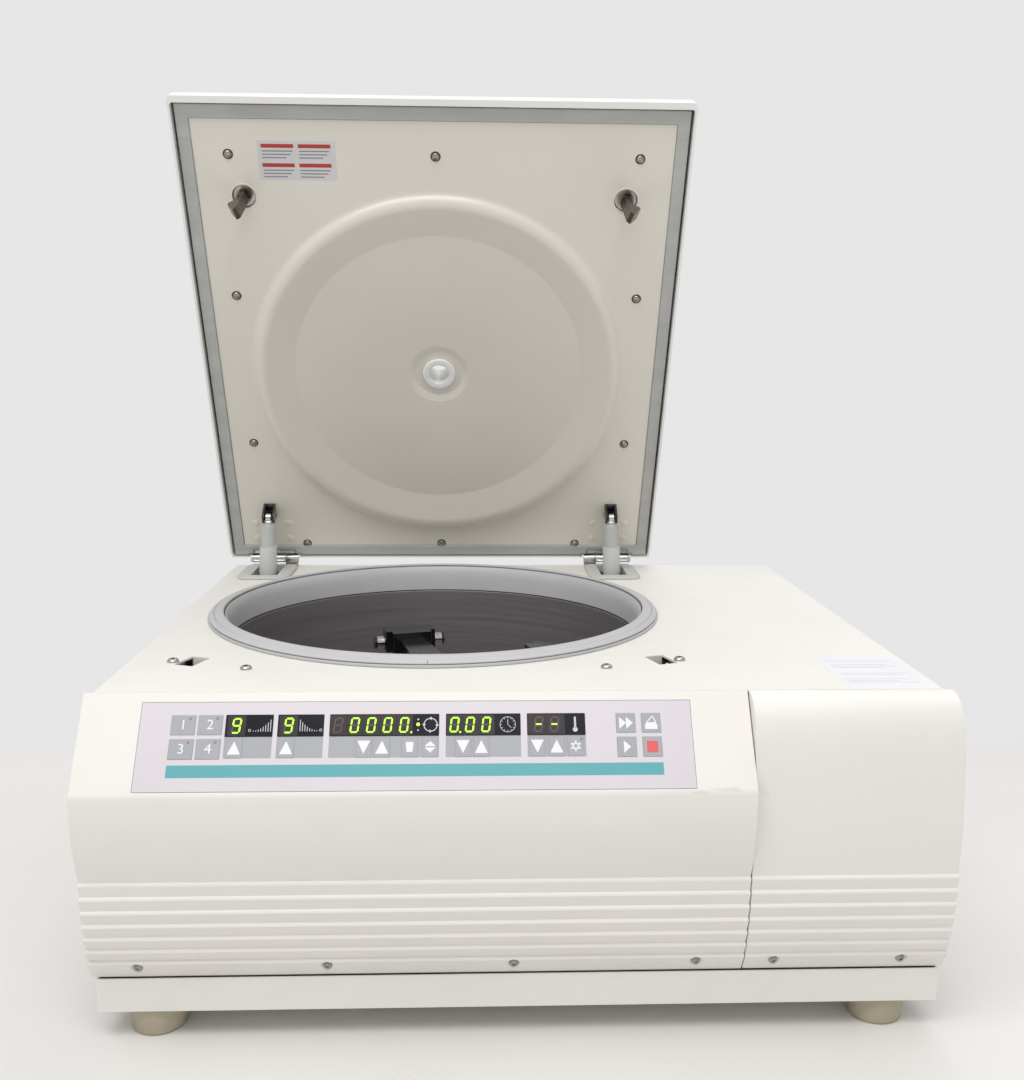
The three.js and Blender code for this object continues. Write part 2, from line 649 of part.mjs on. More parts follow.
// The drive shaft and the screw that locks the rotor on its cone, as one piece.
function driveShaft() {
  const shaft = turned([[0, TRAY_FLOOR + 21], [SHAFT_R, TRAY_FLOOR + 21], [SHAFT_R, HUB_FOOT + 8],
    [SHAFT_R - SHAFT_CONE, SHAFT_TOP], [0, SHAFT_TOP]], 0, 0, 24);
  const disc = pillar(0, 0, ROTOR_TOP - SEAT_DROP + GAP, ROTOR_TOP - 6, SCREW_R, 24);
  const cap = pillar(0, 0, ROTOR_TOP - 6.5, ROTOR_TOP - 2, SCREW_R - 3, 12);
  const key = pillar(0, 0, ROTOR_TOP - 9, ROTOR_TOP, 5, 6);
  return cut(join(shaft, disc, cap), key);
}

const rotor = new THREE.Group();
rotor.position.set(LID_X, CHAMBER_Y, 0);
rotor.rotation.z = ROTOR_TURN * RAD;
centrifuge.add(rotor);

function rotorArm(turns) {
  const headStart = ARM_REACH - HEAD_LENGTH;
  const beam = prismZ([[-ARM_WIDTH / 2, 0], [ARM_WIDTH / 2, 0], [ARM_WIDTH / 2 - 5, headStart + 6],
    [-ARM_WIDTH / 2 + 5, headStart + 6]], HUB_FOOT + 8, ROTOR_TOP - 9);
  const half = HEAD_WIDTH / 2;
  const head = prismZ([[-half + 8, headStart], [half - 8, headStart], [half, headStart + 12],
    [half, ARM_REACH - 4], [half - 4, ARM_REACH], [-half + 4, ARM_REACH], [-half, ARM_REACH - 4],
    [-half, headStart + 12]], ROTOR_TOP - HEAD_HEIGHT, ROTOR_TOP);
  const stud = axleX(-STUD_SPAN / 2, STUD_SPAN / 2, ARM_REACH - 14, ROTOR_TOP - 15, STUD_R, 16);
  const waist = [-1, 1].map((side) => block(...span(side * (half - 7), side * HEAD_WIDTH),
    ARM_REACH - 40, ARM_REACH - 24, ROTOR_TOP - 40, ROTOR_TOP + 10));
  const arm = join(beam, cut(head, ...waist), stud);
  return arm.rotate([0, 0, turns * 90]);
}

function rotorCross() {
  const hub = pillar(0, 0, HUB_FOOT, ROTOR_TOP - 12, HUB_R, 28);
  const wide = SHAFT_R + GAP;
  const narrow = wide - SHAFT_CONE;
  const taper = turned([[0, HUB_FOOT - 1], [wide, HUB_FOOT - 1], [wide, HUB_FOOT + 8],
    [narrow, SHAFT_TOP + GAP], [narrow, ROTOR_TOP], [0, ROTOR_TOP]], 0, 0, 24);
  const seat = pillar(0, 0, ROTOR_TOP - SEAT_DROP, ROTOR_TOP, SCREW_R + GAP, 24);
  return cut(join(hub, rotorArm(0), rotorArm(1), rotorArm(2), rotorArm(3)), taper, seat);
}

// ---------- cooling set in the right bay ----------
const COMPRESSOR = { x: RIGHT_BAY_X, y: REAR - 440, r: 60, tall: 150 };
const CONDENSER = { x0: RIGHT_BAY_X - 82, x1: RIGHT_BAY_X + 82, y0: REAR - 92, y1: REAR - 52, z1: 250 };
const FINS = { count: 14, border: 8, half: 2, back: 8 };
const FAN_AXLE_R = 5;

function compressor() {
  const { x, y, r, tall } = COMPRESSOR;
  const low = TRAY_FLOOR + 14;
  const high = low + tall;
  const dome = bend([r, high - 34], [r, high], [0, high], 4);
  const can = turned([[0, low], [r - 10, low], [r, low + 12], ...dome], x, y, 24);
  const plate = block(x - 78, x + 78, y - 50, y + 50, low - 4, low + 3);
  const pads = [[-64, -38], [64, -38], [64, 38], [-64, 38]].map(([dx, dy]) =>
    pillar(x + dx, y + dy, TRAY_FLOOR + GAP, low + 2, 10, 12));
  return join(can, plate, ...pads);
}

function condenser() {
  const { x0, x1, y0, y1, z1 } = CONDENSER;
  const { count, border, half, back } = FINS;
  let fins = block(x0, x1, y0, y1, TRAY_FLOOR + GAP, z1);
  const pitch = (x1 - x0 - 2 * border) / count;
  for (let i = 0; i < count; i += 1) {
    const x = x0 + border + i * pitch;
    fins = cut(fins, block(x + half, x + pitch - half, y0 - 1, y1 - back, TRAY_FLOOR + 20, z1 - 12));
  }
  const opening = axleY(FAN.x, y1 - 20, y1 + 1, FAN.z, FAN.r, 28);
  const bar = block(x0, x1, y1 - back, y1, FAN.z - 9, FAN.z + 9);
  const axle = axleY(FAN.x, y1 - back / 2, y1 + 22, FAN.z, FAN_AXLE_R, 20);
  return join(cut(fins, opening), bar, axle);
}

const FAN_Y = CONDENSER.y1 + 4;
const FAN_SHAPE = { thick: 16, hubR: 18, blades: 5, pitch: 28, reach: 57 };

function condenserFan() {
  const { thick, hubR, blades, pitch, reach } = FAN_SHAPE;
  const hub = axleY(0, 0, thick, 0, hubR, 20);
  const blade = block(hubR - 3, reach, -1.2, 1.2, -13, 13)
    .rotate([pitch, 0, 0])
    .translate([0, thick / 2, 0]);
  const ring = Array.from({ length: blades }, (_, i) => blade.rotate([0, (i * 360) / blades, 0]));
  return cut(join(hub, ...ring), axleY(0, -2, thick + 2, 0, FAN_AXLE_R + GAP, 20));
}

// ---------- lid ----------
// Local frame of the lid: origin on the hinge axis, x across, -y from the hinge to the front edge,
// z out of the lid. The group then swings the closed lid open.
const lid = new THREE.Group();
lid.position.set(LID_X, HINGE_Y, HINGE_Z);
lid.rotation.x = -OPEN_DEGREES * RAD;
centrifuge.add(lid);

const SEAL_OUT = LID_HALF - LID_WALL - SEAL_GAP;
const SEAL_NEAR = 5.2;
const SEAL_FAR = LID_LENGTH - LID_LIP - SEAL_GAP;

function lidBlank(inset) {
  const half = LID_HALF - inset;
  const top = LID_THICK - (inset ? 3 : 0);
  const edge = -LID_LENGTH;
  const front = edge + (inset ? LID_LIP : 0);
  const back = inset ? -3 : -0.5;
  const floor = inset ? -LID_SKIRT - 6 : -LID_SKIRT;
  const heel = inset ? [[back, floor]] : [[-11, floor], [-7, 0.8], [back, 0.8]];
  const rise = inset ? [[back, 13.2], [-61, top]] : [[back, 15], [-60, top]];
  const { foot, run, fold } = NOSE;
  const rake = inset
    ? [[edge + run + fold + 1.2, top], [edge + run + 5.2, top - fold / 2], [front, 2 * foot]]
    : [[edge + run + fold, top], [edge + run, top - fold], [edge, foot]];
  const profile = [...heel, ...rise, ...rake, [front, floor]];
  const corner = inset ? 9 : 12;
  const across = [[-half, floor], [half, floor],
    ...bend([half, top - corner], [half, top], [half - corner, top], 5),
    ...bend([-half + corner, top], [-half, top], [-half, top - corner], 5)];
  const plan = roundedRectangle(-half, half, front, 4, inset ? 3 : 6, 4);
  return prismX(profile, -half, half)
    .intersect(prismY(across, front - 1, 5))
    .intersect(prismZ(plan, -20, LID_THICK + 5));
}

const HINGE_HALF = (HINGE_LONG + HINGE_SHORT + 1) / 2;

// The lid's half of each hinge: the long barrel, on a strap welded inside the back wall.
function lidShell() {
  let shell = cut(lidBlank(0), lidBlank(LID_WALL));
  shell = cut(shell, pillar(0, CHAMBER_Y - HINGE_Y, 20, 60, BUSH_R + GAP, 32));
  for (const [, side] of SIDES) {
    const outer = side * (HINGE_OFFSET + HINGE_HALF);
    const split = outer - side * HINGE_LONG;
    const reach = split - side * (HINGE_SHORT + 1.5);
    const long = span(outer, split);
    shell = cut(shell, axleX(...span(outer + side * 1.5, reach), 0, 0, BARREL_R + 1.2));
    const strap = block(...long, -4.9, -2.4, 0, 13);
    const barrel = axleX(...long, 0, 0, BARREL_R);
    shell = cut(join(shell, strap, barrel), axleX(long[0] - 1, long[1] + 1, 0, 0, PIN_R + GAP));
  }
  return shell;
}

function lidEdgeSeal() {
  let frame = cut(
    block(-SEAL_OUT, SEAL_OUT, -SEAL_FAR, -SEAL_NEAR, 0, SEAL_THICK),
    block(-SEAL_OUT + SEAL_WIDTH, SEAL_OUT - SEAL_WIDTH, -SEAL_FAR + SEAL_WIDTH + 1,
      -SEAL_NEAR - SEAL_WIDTH - 1, -1, SEAL_THICK + 1));
  for (const [, side] of SIDES) {
    const x = side * HINGE_OFFSET;
    const notch = HINGE_HALF - 4.5;
    const relief = HINGE_HALF + 1.5;
    frame = cut(frame, block(x - notch, x + notch, -13.6, 0, -1, SEAL_THICK + 1));
    frame = cut(frame, block(x - relief, x + relief, -7.2, 0, -1, SEAL_THICK + 1));
  }
  return frame;
}

function lidInnerPanel() {
  const half = SEAL_OUT - SEAL_WIDTH - GAP;
  const near = SEAL_NEAR + SEAL_WIDTH + 1 + GAP;
  const far = SEAL_FAR - SEAL_WIDTH - 1 - GAP;
  const axisY = CHAMBER_Y - HINGE_Y;
  const flat = PANEL_SINK;
  const dish = DISC_SINK + 3;
  const face = [[BUSH_R + GAP, dish], [29, dish], [36, DISC_SINK], [DISC_R, DISC_SINK],
    [BEAD_R - 15, -3.6], [BEAD_R - 7, -4.8], [BEAD_R, -1.5], [BEAD_R + 2.5, flat], [BEAD_R + 8, flat]];
  const back = face.map(([r, w]) => [r, w + PANEL_SHEET]).reverse();
  const pressing = turned([...face, ...back], 0, axisY);
  let sheet = cut(block(-half, half, -far, -near, flat, flat + PANEL_SHEET),
    pillar(0, axisY, -10, 20, BEAD_R + 6, ROUND));
  for (const [, side] of SIDES) {
    sheet = cut(sheet, pillar(side * HOOK_OFFSET, -HOOK_V, -10, 20, HOOK_PLATE_R + GAP));
  }
  return join(sheet, pressing);
}

function portBush() {
  const axisY = CHAMBER_Y - HINGE_Y;
  const floor = DISC_SINK + 3 - GAP;
  return turned([[PORT_R, floor - 3.4], [BUSH_FLANGE_R - 1.5, floor - 3.4], [BUSH_FLANGE_R, floor - 2],
    [BUSH_FLANGE_R, floor], [BUSH_R, floor], [BUSH_R, LID_THICK - 0.5], [PORT_R, LID_THICK - 0.5]],
  0, axisY, 32);
}

// A lock hook on its round plate, with a stem up to the lid's outer skin.
function latchHook(side) {
  const tip = -HOOK_REACH;
  const shank = HOOK_SHANK / 2;
  const profile = [[-shank, 7], [-shank, tip + 4], [-shank + 2, tip], [0, tip],
    [shank + HOOK_BARB, -HOOK_SHOULDER - 8], [shank + HOOK_BARB, -HOOK_SHOULDER - 2],
    [shank, -HOOK_SHOULDER], [shank, 7]].map(([u, w]) => [side * u, w]);
  const blade = prismY(profile, -HOOK_DEPTH / 2, HOOK_DEPTH / 2).rotate([0, 0, side * HOOK_TURN]);
  const plate = pillar(0, 0, 6, 9, HOOK_PLATE_R);
  const stem = pillar(0, 0, 8, LID_THICK - 3 - GAP, 5, 20);
  return join(blade, plate, stem).translate([side * HOOK_OFFSET, -HOOK_V, 0]);
}

const FORK_INSIDE = 5;
const EYE = { half: 3.6, r: 6.4 };

// Black fork that the gas spring's top eye swings in, with its cross pin.
function springFork(side) {
  const x = side * HINGE_OFFSET;
  const seat = PANEL_SINK - GAP;
  const inner = FORK_INSIDE;
  const outer = FORK_INSIDE + 3;
  const base = block(x - outer, x + outer, -FORK_V - 13, -FORK_V + 8, seat - 2, seat);
  const leg = [[2, seat - 0.6], [-12, seat - 0.6], [-10, -6], [-7.5, FORK_W - 3], [-3, FORK_W - 7],
    [3, FORK_W - 7], [7, FORK_W - 3], [6.5, FORK_W + 4]].map(([y, z]) => [y - FORK_V, z]);
  const legs = [-1, 1].map((way) => prismX(leg, ...span(x + way * inner, x + way * outer)));
  return join(base, ...legs, axleX(x - outer, x + outer, -FORK_V, FORK_W, PIN_R, 20));
}

const HINGE_PLATE = { half: 30, front: 14 };

// The housing's half of each hinge: the short barrel and the pin, on a bent plate on the deck.
function deckHinge(side) {
  const mid = LID_X + side * HINGE_OFFSET;
  const outer = mid + side * HINGE_HALF;
  const split = outer - side * (HINGE_LONG + GAP);
  const inner = outer - side * (HINGE_LONG + HINGE_SHORT);
  const short = span(split, inner);
  const foot = DECK_Z + GAP;
  const plate = block(mid - HINGE_PLATE.half, mid + HINGE_PLATE.half,
    HINGE_Y - HINGE_PLATE.front, HINGE_Y - 1, foot, foot + SHEET);
  const tab = block(...short, HINGE_Y - 6, HINGE_Y - 2.5, foot, HINGE_Z);
  const barrel = axleX(...short, HINGE_Y, HINGE_Z, BARREL_R);
  const pin = axleX(...span(outer - side, inner), HINGE_Y, HINGE_Z, PIN_R);
  const clear = axleX(...span(split, outer + side * 2), HINGE_Y, HINGE_Z, BARREL_R + 0.6);
  return join(cut(join(plate, tab), clear), barrel, pin);
}

function springBezel(side) {
  const x = LID_X + side * HINGE_OFFSET;
  const back = HINGE_Y - HINGE_PLATE.front - GAP;
  const outside = 1 - GAP;
  const rim = prismZ(roundedRectangle(x - BEZEL_HALF, x + BEZEL_HALF, BEZEL_FRONT, back, 12, 5),
    DECK_Z + GAP, DECK_Z + 3.8);
  const throat = block(x - SLOT_HALF - outside, x + SLOT_HALF + outside, SLOT_FRONT - outside,
    SLOT_BACK + outside, DECK_Z - 6, DECK_Z + 1);
  const slot = block(x - SLOT_HALF + 1, x + SLOT_HALF - 1, SLOT_FRONT + 1, SLOT_BACK - 1,
    DECK_Z - CUTTER, DECK_Z + CUTTER);
  return cut(join(rim, throat), slot);
}

// ---------- gas springs ----------
const openAngle = OPEN_DEGREES * RAD;
const PIVOT = {
  y: HINGE_Y - FORK_V * Math.cos(openAngle) + FORK_W * Math.sin(openAngle),
  z: HINGE_Z + FORK_V * Math.sin(openAngle) + FORK_W * Math.cos(openAngle),
};
const ROD_EYE_R = 7;
const SPRING_LENGTH = Math.hypot(PIVOT.y - ANCHOR_Y, PIVOT.z - ANCHOR_Z);

// Local frame of a gas spring: origin on its upper pin, -z towards its lower stud.
function springGroup(side) {
  const group = new THREE.Group();
  group.position.set(LID_X + side * HINGE_OFFSET, PIVOT.y, PIVOT.z);
  group.rotation.x = -Math.atan2(PIVOT.y - ANCHOR_Y, PIVOT.z - ANCHOR_Z);
  centrifuge.add(group);
  return group;
}

function gasCylinder() {
  const eye = axleX(-EYE.half, EYE.half, 0, 0, EYE.r, 24);
  const tongue = block(-EYE.half, EYE.half, -5, 5, -TUBE_TOP, 0);
  const tube = turned([[0, 3 - TUBE_TOP], [TUBE_R - 2, 3 - TUBE_TOP], [TUBE_R, -TUBE_TOP],
    [TUBE_R, -TUBE_END], [SLEEVE_R, -TUBE_END - 1], [SLEEVE_R, -SLEEVE_END], [0, -SLEEVE_END]], 0, 0, 24);
  const bore = pillar(0, 0, -SLEEVE_END - 1, -BORE_END, ROD_R + GAP, 16);
  return cut(join(eye, tongue, tube), bore, axleX(-5, 5, 0, 0, PIN_R + GAP, 20));
}

function gasRod() {
  const top = -SLEEVE_END + ROD_INSIDE;
  const foot = -SPRING_LENGTH;
  const rod = pillar(0, 0, foot + 4, top, ROD_R, 16);
  const socket = axleX(-ROD_EYE_HALF, ROD_EYE_HALF, 0, foot, ROD_EYE_R, 20);
  const neck = pillar(0, 0, foot + 4, foot + 2 * ROD_EYE_R, ROD_EYE_R - 1.5, 16);
  return join(rod, socket, neck);
}

// ---------- lid lock ----------
const CATCH = { tongueHalf: 9, tongueTall: 5, reach: 8, slideHalf: 12, slideLong: 18 };

// A sliding catch under the deck that moves in over the barb of its hook.
function lockCatch(side) {
  const low = HINGE_Z - HOOK_SHOULDER + 1;
  const near = HOOK_SHANK / 2 + 1 + CATCH_TRAVEL;
  const { tongueHalf, tongueTall, reach, slideHalf, slideLong } = CATCH;
  const tongue = block(near, near + reach, -tongueHalf, tongueHalf, low, low + tongueTall);
  const slide = block(near + reach - 2, near + reach - 2 + slideLong, -slideHalf, slideHalf,
    low, DECK_Z - SHEET - GAP);
  const placed = join(tongue, slide).rotate([0, 0, side > 0 ? HOOK_TURN : 180 - HOOK_TURN]);
  return placed.translate([LID_X + side * HOOK_OFFSET, HINGE_Y - HOOK_V, 0]);
}

// ---------- assembly ----------
add('base_tray', baseTray(), paint);
feet();
add('housing_cover', housingCover(), paint);
add('rear_panel', rearPanel(), paint);
add('mains_inlet', mainsInlet(), blackPlastic);
add('power_switch', powerSwitch(), blackPlastic);
add('front_fascia', frontFascia(), moulding);
add('front_side_cover', frontMoulding(sidePath(), SEAM_X + SEAM_GAP / 2, WIDTH / 2), moulding);
add('control_foil', controlFoil(), foilGrey, controls);
keys();
add('chamber_bowl', chamberBowl(), stainless);
add('chamber_floor', chamberFloor(), stainless);
add('chamber_collar', chamberCollar(), collarGrey);
add('chamber_gasket', chamberGasket(), gasketGrey);
add('armour_ring', armourRing(), galvanised);
add('drive_motor', driveMotor(), galvanised);
add('drive_shaft', driveShaft(), brightSteel, rotor);
add('rotor_cross', rotorCross(), rotorBlack, rotor);
add('compressor', compressor(), blackPlastic);
add('condenser', condenser(), finStock);
const fan = new THREE.Group();
fan.position.set(FAN.x, FAN_Y, FAN.z);
centrifuge.add(fan);
add('condenser_fan', condenserFan(), blackPlastic, fan);
add('lid_shell', lidShell(), lidPaint, lid);
add('lid_inner_panel', lidInnerPanel(), creamPaint, lid);
add('lid_edge_seal', lidEdgeSeal(), sealGrey, lid);
add('port_bush', portBush(), whitePlastic, lid);
for (const [name, side] of SIDES) {
  add(`latch_hook_${name}`, latchHook(side), darkSteel, lid);
  add(`spring_fork_${name}`, springFork(side), blackPlastic, lid);
  add(`hinge_${name}`, deckHinge(side), brightSteel);
  add(`spring_bezel_${name}`, springBezel(side), bezelGrey);
  const spring = springGroup(side);
  add(`gas_cylinder_${name}`, gasCylinder(), bezelGrey, spring);
  add(`gas_rod_${name}`, gasRod(), brightSteel, spring);
  add(`lock_catch_${name}`, lockCatch(side), galvanised);
}

export default centrifuge;
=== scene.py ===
# %% [markdown]
# # A bench centrifuge, dressed over its frame
# The frame holds every piece at its true size and place. This lesson gives it its looks: smooth turned
# rings, screws, a printed control panel with lit displays, and paint, rubber and steel made from nodes.
# Lengths are written in millimetres and multiplied by MM where Blender needs metres.

# %% Load the frame
import json
import math

import bpy
from mathutils import Matrix, Vector

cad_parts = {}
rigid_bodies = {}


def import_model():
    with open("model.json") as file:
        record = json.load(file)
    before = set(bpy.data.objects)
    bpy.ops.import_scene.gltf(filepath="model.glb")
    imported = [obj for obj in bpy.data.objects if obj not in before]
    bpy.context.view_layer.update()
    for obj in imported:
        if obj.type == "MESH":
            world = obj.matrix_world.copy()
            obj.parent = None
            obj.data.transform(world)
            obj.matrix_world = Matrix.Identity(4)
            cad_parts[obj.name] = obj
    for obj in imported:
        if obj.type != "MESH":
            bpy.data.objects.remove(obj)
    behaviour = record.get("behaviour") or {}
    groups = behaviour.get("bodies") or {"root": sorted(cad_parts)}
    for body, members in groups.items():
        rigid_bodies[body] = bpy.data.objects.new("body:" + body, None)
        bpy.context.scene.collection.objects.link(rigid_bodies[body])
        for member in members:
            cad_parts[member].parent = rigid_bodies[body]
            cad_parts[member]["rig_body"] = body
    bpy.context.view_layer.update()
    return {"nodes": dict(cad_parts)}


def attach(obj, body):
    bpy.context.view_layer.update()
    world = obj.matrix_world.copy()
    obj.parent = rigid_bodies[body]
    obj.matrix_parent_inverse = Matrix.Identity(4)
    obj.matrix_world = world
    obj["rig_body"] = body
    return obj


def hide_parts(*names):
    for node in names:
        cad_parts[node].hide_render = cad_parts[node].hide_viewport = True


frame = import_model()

MM = 0.001
MERGE = 0.002 * MM  # corners closer than this are one corner

# %% [markdown]
# ## Camera
# The camera is set first, because every choice of detail depends on what can be seen. Its three axes are
# worked out from a small turn, a downward tilt and a hint of roll, and go straight into its matrix.
# That avoids guessing at the order of Euler angles.

# %% Camera
CAMERA_AT = Vector((-0.0459, -1.2101, 0.5835))
TURN, TILT, ROLL = -0.03717, 0.1381, -0.006384
ahead = Vector((0, math.cos(TILT), -math.sin(TILT)))
down = Vector((0, -math.sin(TILT), -math.cos(TILT)))
right = Vector((1, 0, 0))
rolled_right = right * math.cos(ROLL) + down * math.sin(ROLL)
rolled_down = down * math.cos(ROLL) - right * math.sin(ROLL)
turn = Matrix.Rotation(TURN, 3, "Z")
axes = Matrix((turn @ rolled_right, -(turn @ rolled_down), -(turn @ ahead))).transposed()

lens = bpy.data.cameras.new("camera")
lens.sensor_width = 36
lens.lens = 37.6
lens.shift_y = -0.0212
lens.clip_start = 0.05
camera = bpy.data.objects.new("camera", lens)
camera.matrix_world = Matrix.Translation(CAMERA_AT) @ axes.to_4x4()
bpy.context.scene.collection.objects.link(camera)
bpy.context.scene.camera = camera
print("camera at", tuple(CAMERA_AT))

# %% [markdown]
# ## Hands-on helpers
# Every new piece starts as a primitive and is shaped by operators, as by hand. An operator acts on all
# that is selected, and the frame arrives selected, so each helper first lets go of everything.


# %% Selecting
def let_go():
    if bpy.context.mode != "OBJECT":
        bpy.ops.object.mode_set(mode="OBJECT")
    bpy.ops.object.select_all(action="DESELECT")


def take(piece):
    let_go()
    piece.select_set(True)
    bpy.context.view_layer.objects.active = piece


def open_mesh(piece):
    take(piece)
    bpy.ops.object.mode_set(mode="EDIT")
    bpy.ops.mesh.select_mode(type="VERT")
    bpy.ops.mesh.select_all(action="SELECT")


def close_mesh():
    bpy.ops.mesh.select_all(action="SELECT")
    bpy.ops.mesh.remove_doubles(threshold=MERGE)
    bpy.ops.mesh.normals_make_consistent(inside=False)
    bpy.ops.object.mode_set(mode="OBJECT")


def settle(piece):
    """Puts the piece's place into its mesh, so that the object itself sits at the origin."""
    take(piece)
    bpy.ops.object.transform_apply(location=True, rotation=True, scale=True)
    return piece


# %% Finishing
def soften(piece, width, segments=2, angle=35):
    take(piece)
    edge = piece.modifiers.new("edge", "BEVEL")
    edge.width = width * MM
    edge.segments = segments
    edge.limit_method = "ANGLE"
    edge.angle_limit = math.radians(angle)
    edge.harden_normals = False
    bpy.ops.object.modifier_apply(modifier=edge.name)
    return piece


def smooth(piece, angle=32):
    take(piece)
    bpy.ops.object.shade_smooth_by_angle(angle=math.radians(angle))
    return piece


def even(piece):
    """Weighs the shading by face size, so that broad flat faces stay flat beside small ones."""
    take(piece)
    weighing = piece.modifiers.new("weighing", "WEIGHTED_NORMAL")
    weighing.keep_sharp = True
    weighing.weight = 100
    bpy.ops.object.modifier_apply(modifier=weighing.name)
    return piece


def wear(piece, finish):
    piece.data.materials.clear()
    piece.data.materials.append(finish)
    return piece


def copies(piece, places):
    """Copies of a piece, each with its own mesh, at a list of matrices; the first one is used up."""
    made = []
    for n, place in enumerate(places):
        other = piece.copy()
        other.data = piece.data.copy()
        other.name = f"{piece.name}_{n + 1}"
        other.data.transform(place)
        bpy.context.scene.collection.objects.link(other)
        made.append(other)
    bpy.data.objects.remove(piece)
    return made


def join(pieces, name):
    let_go()
    for piece in pieces:
        piece.select_set(True)
    bpy.context.view_layer.objects.active = pieces[0]
    bpy.ops.object.join()
    pieces[0].name = name
    return pieces[0]


# %% [markdown]
# ## Shapes from a circle
# A turned piece is a circle that is extruded upwards again and again, and resized at each step, like a
# pot on a wheel. A flat plate is a circle with as many corners as its outline, moved to that outline
# and extruded once. Between them they make most of the small pieces.


# %% Turned pieces and plates
def turned(name, outline, segments=96, closed=True):
    """Turns an outline of (radius, height) points, in mm, about the Z axis."""
    let_go()
    radius, height = outline[0]
    bpy.ops.mesh.primitive_circle_add(vertices=segments, radius=radius * MM, location=(0, 0, height * MM))
    piece = bpy.context.object
    piece.name = name
    open_mesh(piece)
    steps = list(outline[1:]) + ([outline[0]] if closed else [])
    for to_radius, to_height in steps:
        rise = (0, 0, (to_height - height) * MM)
        grow = to_radius / radius
        bpy.ops.mesh.extrude_region_move(TRANSFORM_OT_translate={"value": rise})
        bpy.ops.transform.resize(value=(grow, grow, 1), center_override=(0, 0, to_height * MM))
        radius, height = to_radius, to_height
    close_mesh()
    return settle(piece)


POLE = 0.001  # a radius small enough to merge into one point


def plate(name, outline, low, high):
    """A flat plate with an outline of (x, y) points, in mm, between two heights."""
    let_go()
    bpy.ops.mesh.primitive_circle_add(vertices=len(outline), radius=MM, fill_type="NGON")
    piece = bpy.context.object
    piece.name = name
    for corner, (x, y) in zip(piece.data.vertices, outline):
        corner.co = (x * MM, y * MM, low * MM)
    open_mesh(piece)
    bpy.ops.mesh.extrude_region_move(TRANSFORM_OT_translate={"value": (0, 0, (high - low) * MM)})
    close_mesh()
    return piece


def rectangle(x0, x1, y0, y1):
    return [(x0, y0), (x1, y0), (x1, y1), (x0, y1)]


def rounded(x0, x1, y0, y1, radius, steps=4):
    corners = [(x1 - radius, y1 - radius, 0), (x0 + radius, y1 - radius, 90),
               (x0 + radius, y0 + radius, 180), (x1 - radius, y0 + radius, 270)]
    points = []
    for cx, cy, start in corners:
        for i in range(steps + 1):
            angle = math.radians(start + 90 * i / steps)
            points.append((cx + radius * math.cos(angle), cy + radius * math.sin(angle)))
    return points


def disc(x, y, radius, steps=24):
    return [(x + radius * math.cos(a), y + radius * math.sin(a))
            for a in (2 * math.pi * i / steps for i in range(steps))]


# %% [markdown]
# ## Cleaned copies of frame pieces
# A frame piece arrives as loose triangles, which can only be shaded flat. Where its shape is right but
# its edges are too sharp, a copy is merged, its coplanar triangles are dissolved and cut anew, and its
# edges get a small bevel, because light catches every real edge. A long face with many corners can fold
# over itself when the bevel moves them, which is why it is cut into triangles first.


# %% Refine a frame piece
def refined(node, finish, bevel=0.0, segments=2, angle=32):
    source = frame["nodes"][node]
    let_go()
    piece = source.copy()
    piece.data = source.data.copy()
    piece.parent = None
    piece.name = f"{node}_finished"
    for key in [k for k in piece.keys() if k.startswith("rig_")]:
        del piece[key]
    bpy.context.scene.collection.objects.link(piece)
    take(piece)
    if piece.data.has_custom_normals:
        bpy.ops.mesh.customdata_custom_splitnormals_clear()
    open_mesh(piece)
    bpy.ops.mesh.remove_doubles(threshold=MERGE)
    bpy.ops.mesh.dissolve_limited(angle_limit=math.radians(0.6))
    bpy.ops.mesh.select_all(action="SELECT")
    bpy.ops.mesh.quads_convert_to_tris(ngon_method="BEAUTY")
    bpy.ops.object.mode_set(mode="OBJECT")
    if bevel:
        soften(piece, bevel, segments)
    even(smooth(piece, angle))
    wear(piece, finish)
    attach(piece, source["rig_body"])
    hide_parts(node)
    return piece


# %% [markdown]
# ## Finishes
# Real paint is never one flat colour. Each finish starts from a shared recipe: the shader, object
# coordinates, a slow noise that drifts between two near tones, a fine noise for the grain, and a bump.
# Special finishes then add to it. Fixed numbers sit on the shader itself.


# %% The recipe
def node(tree, kind, **values):
    made = tree.nodes.new(kind)
    for key, value in values.items():
        setattr(made, key, value)
    return made


def set_inputs(made, **values):
    for key, value in values.items():
        made.inputs[key.replace("_", " ")].default_value = value
    return made


def shade(colour, factor):
    return tuple(min(1.0, c * factor) for c in colour) + (1.0,)


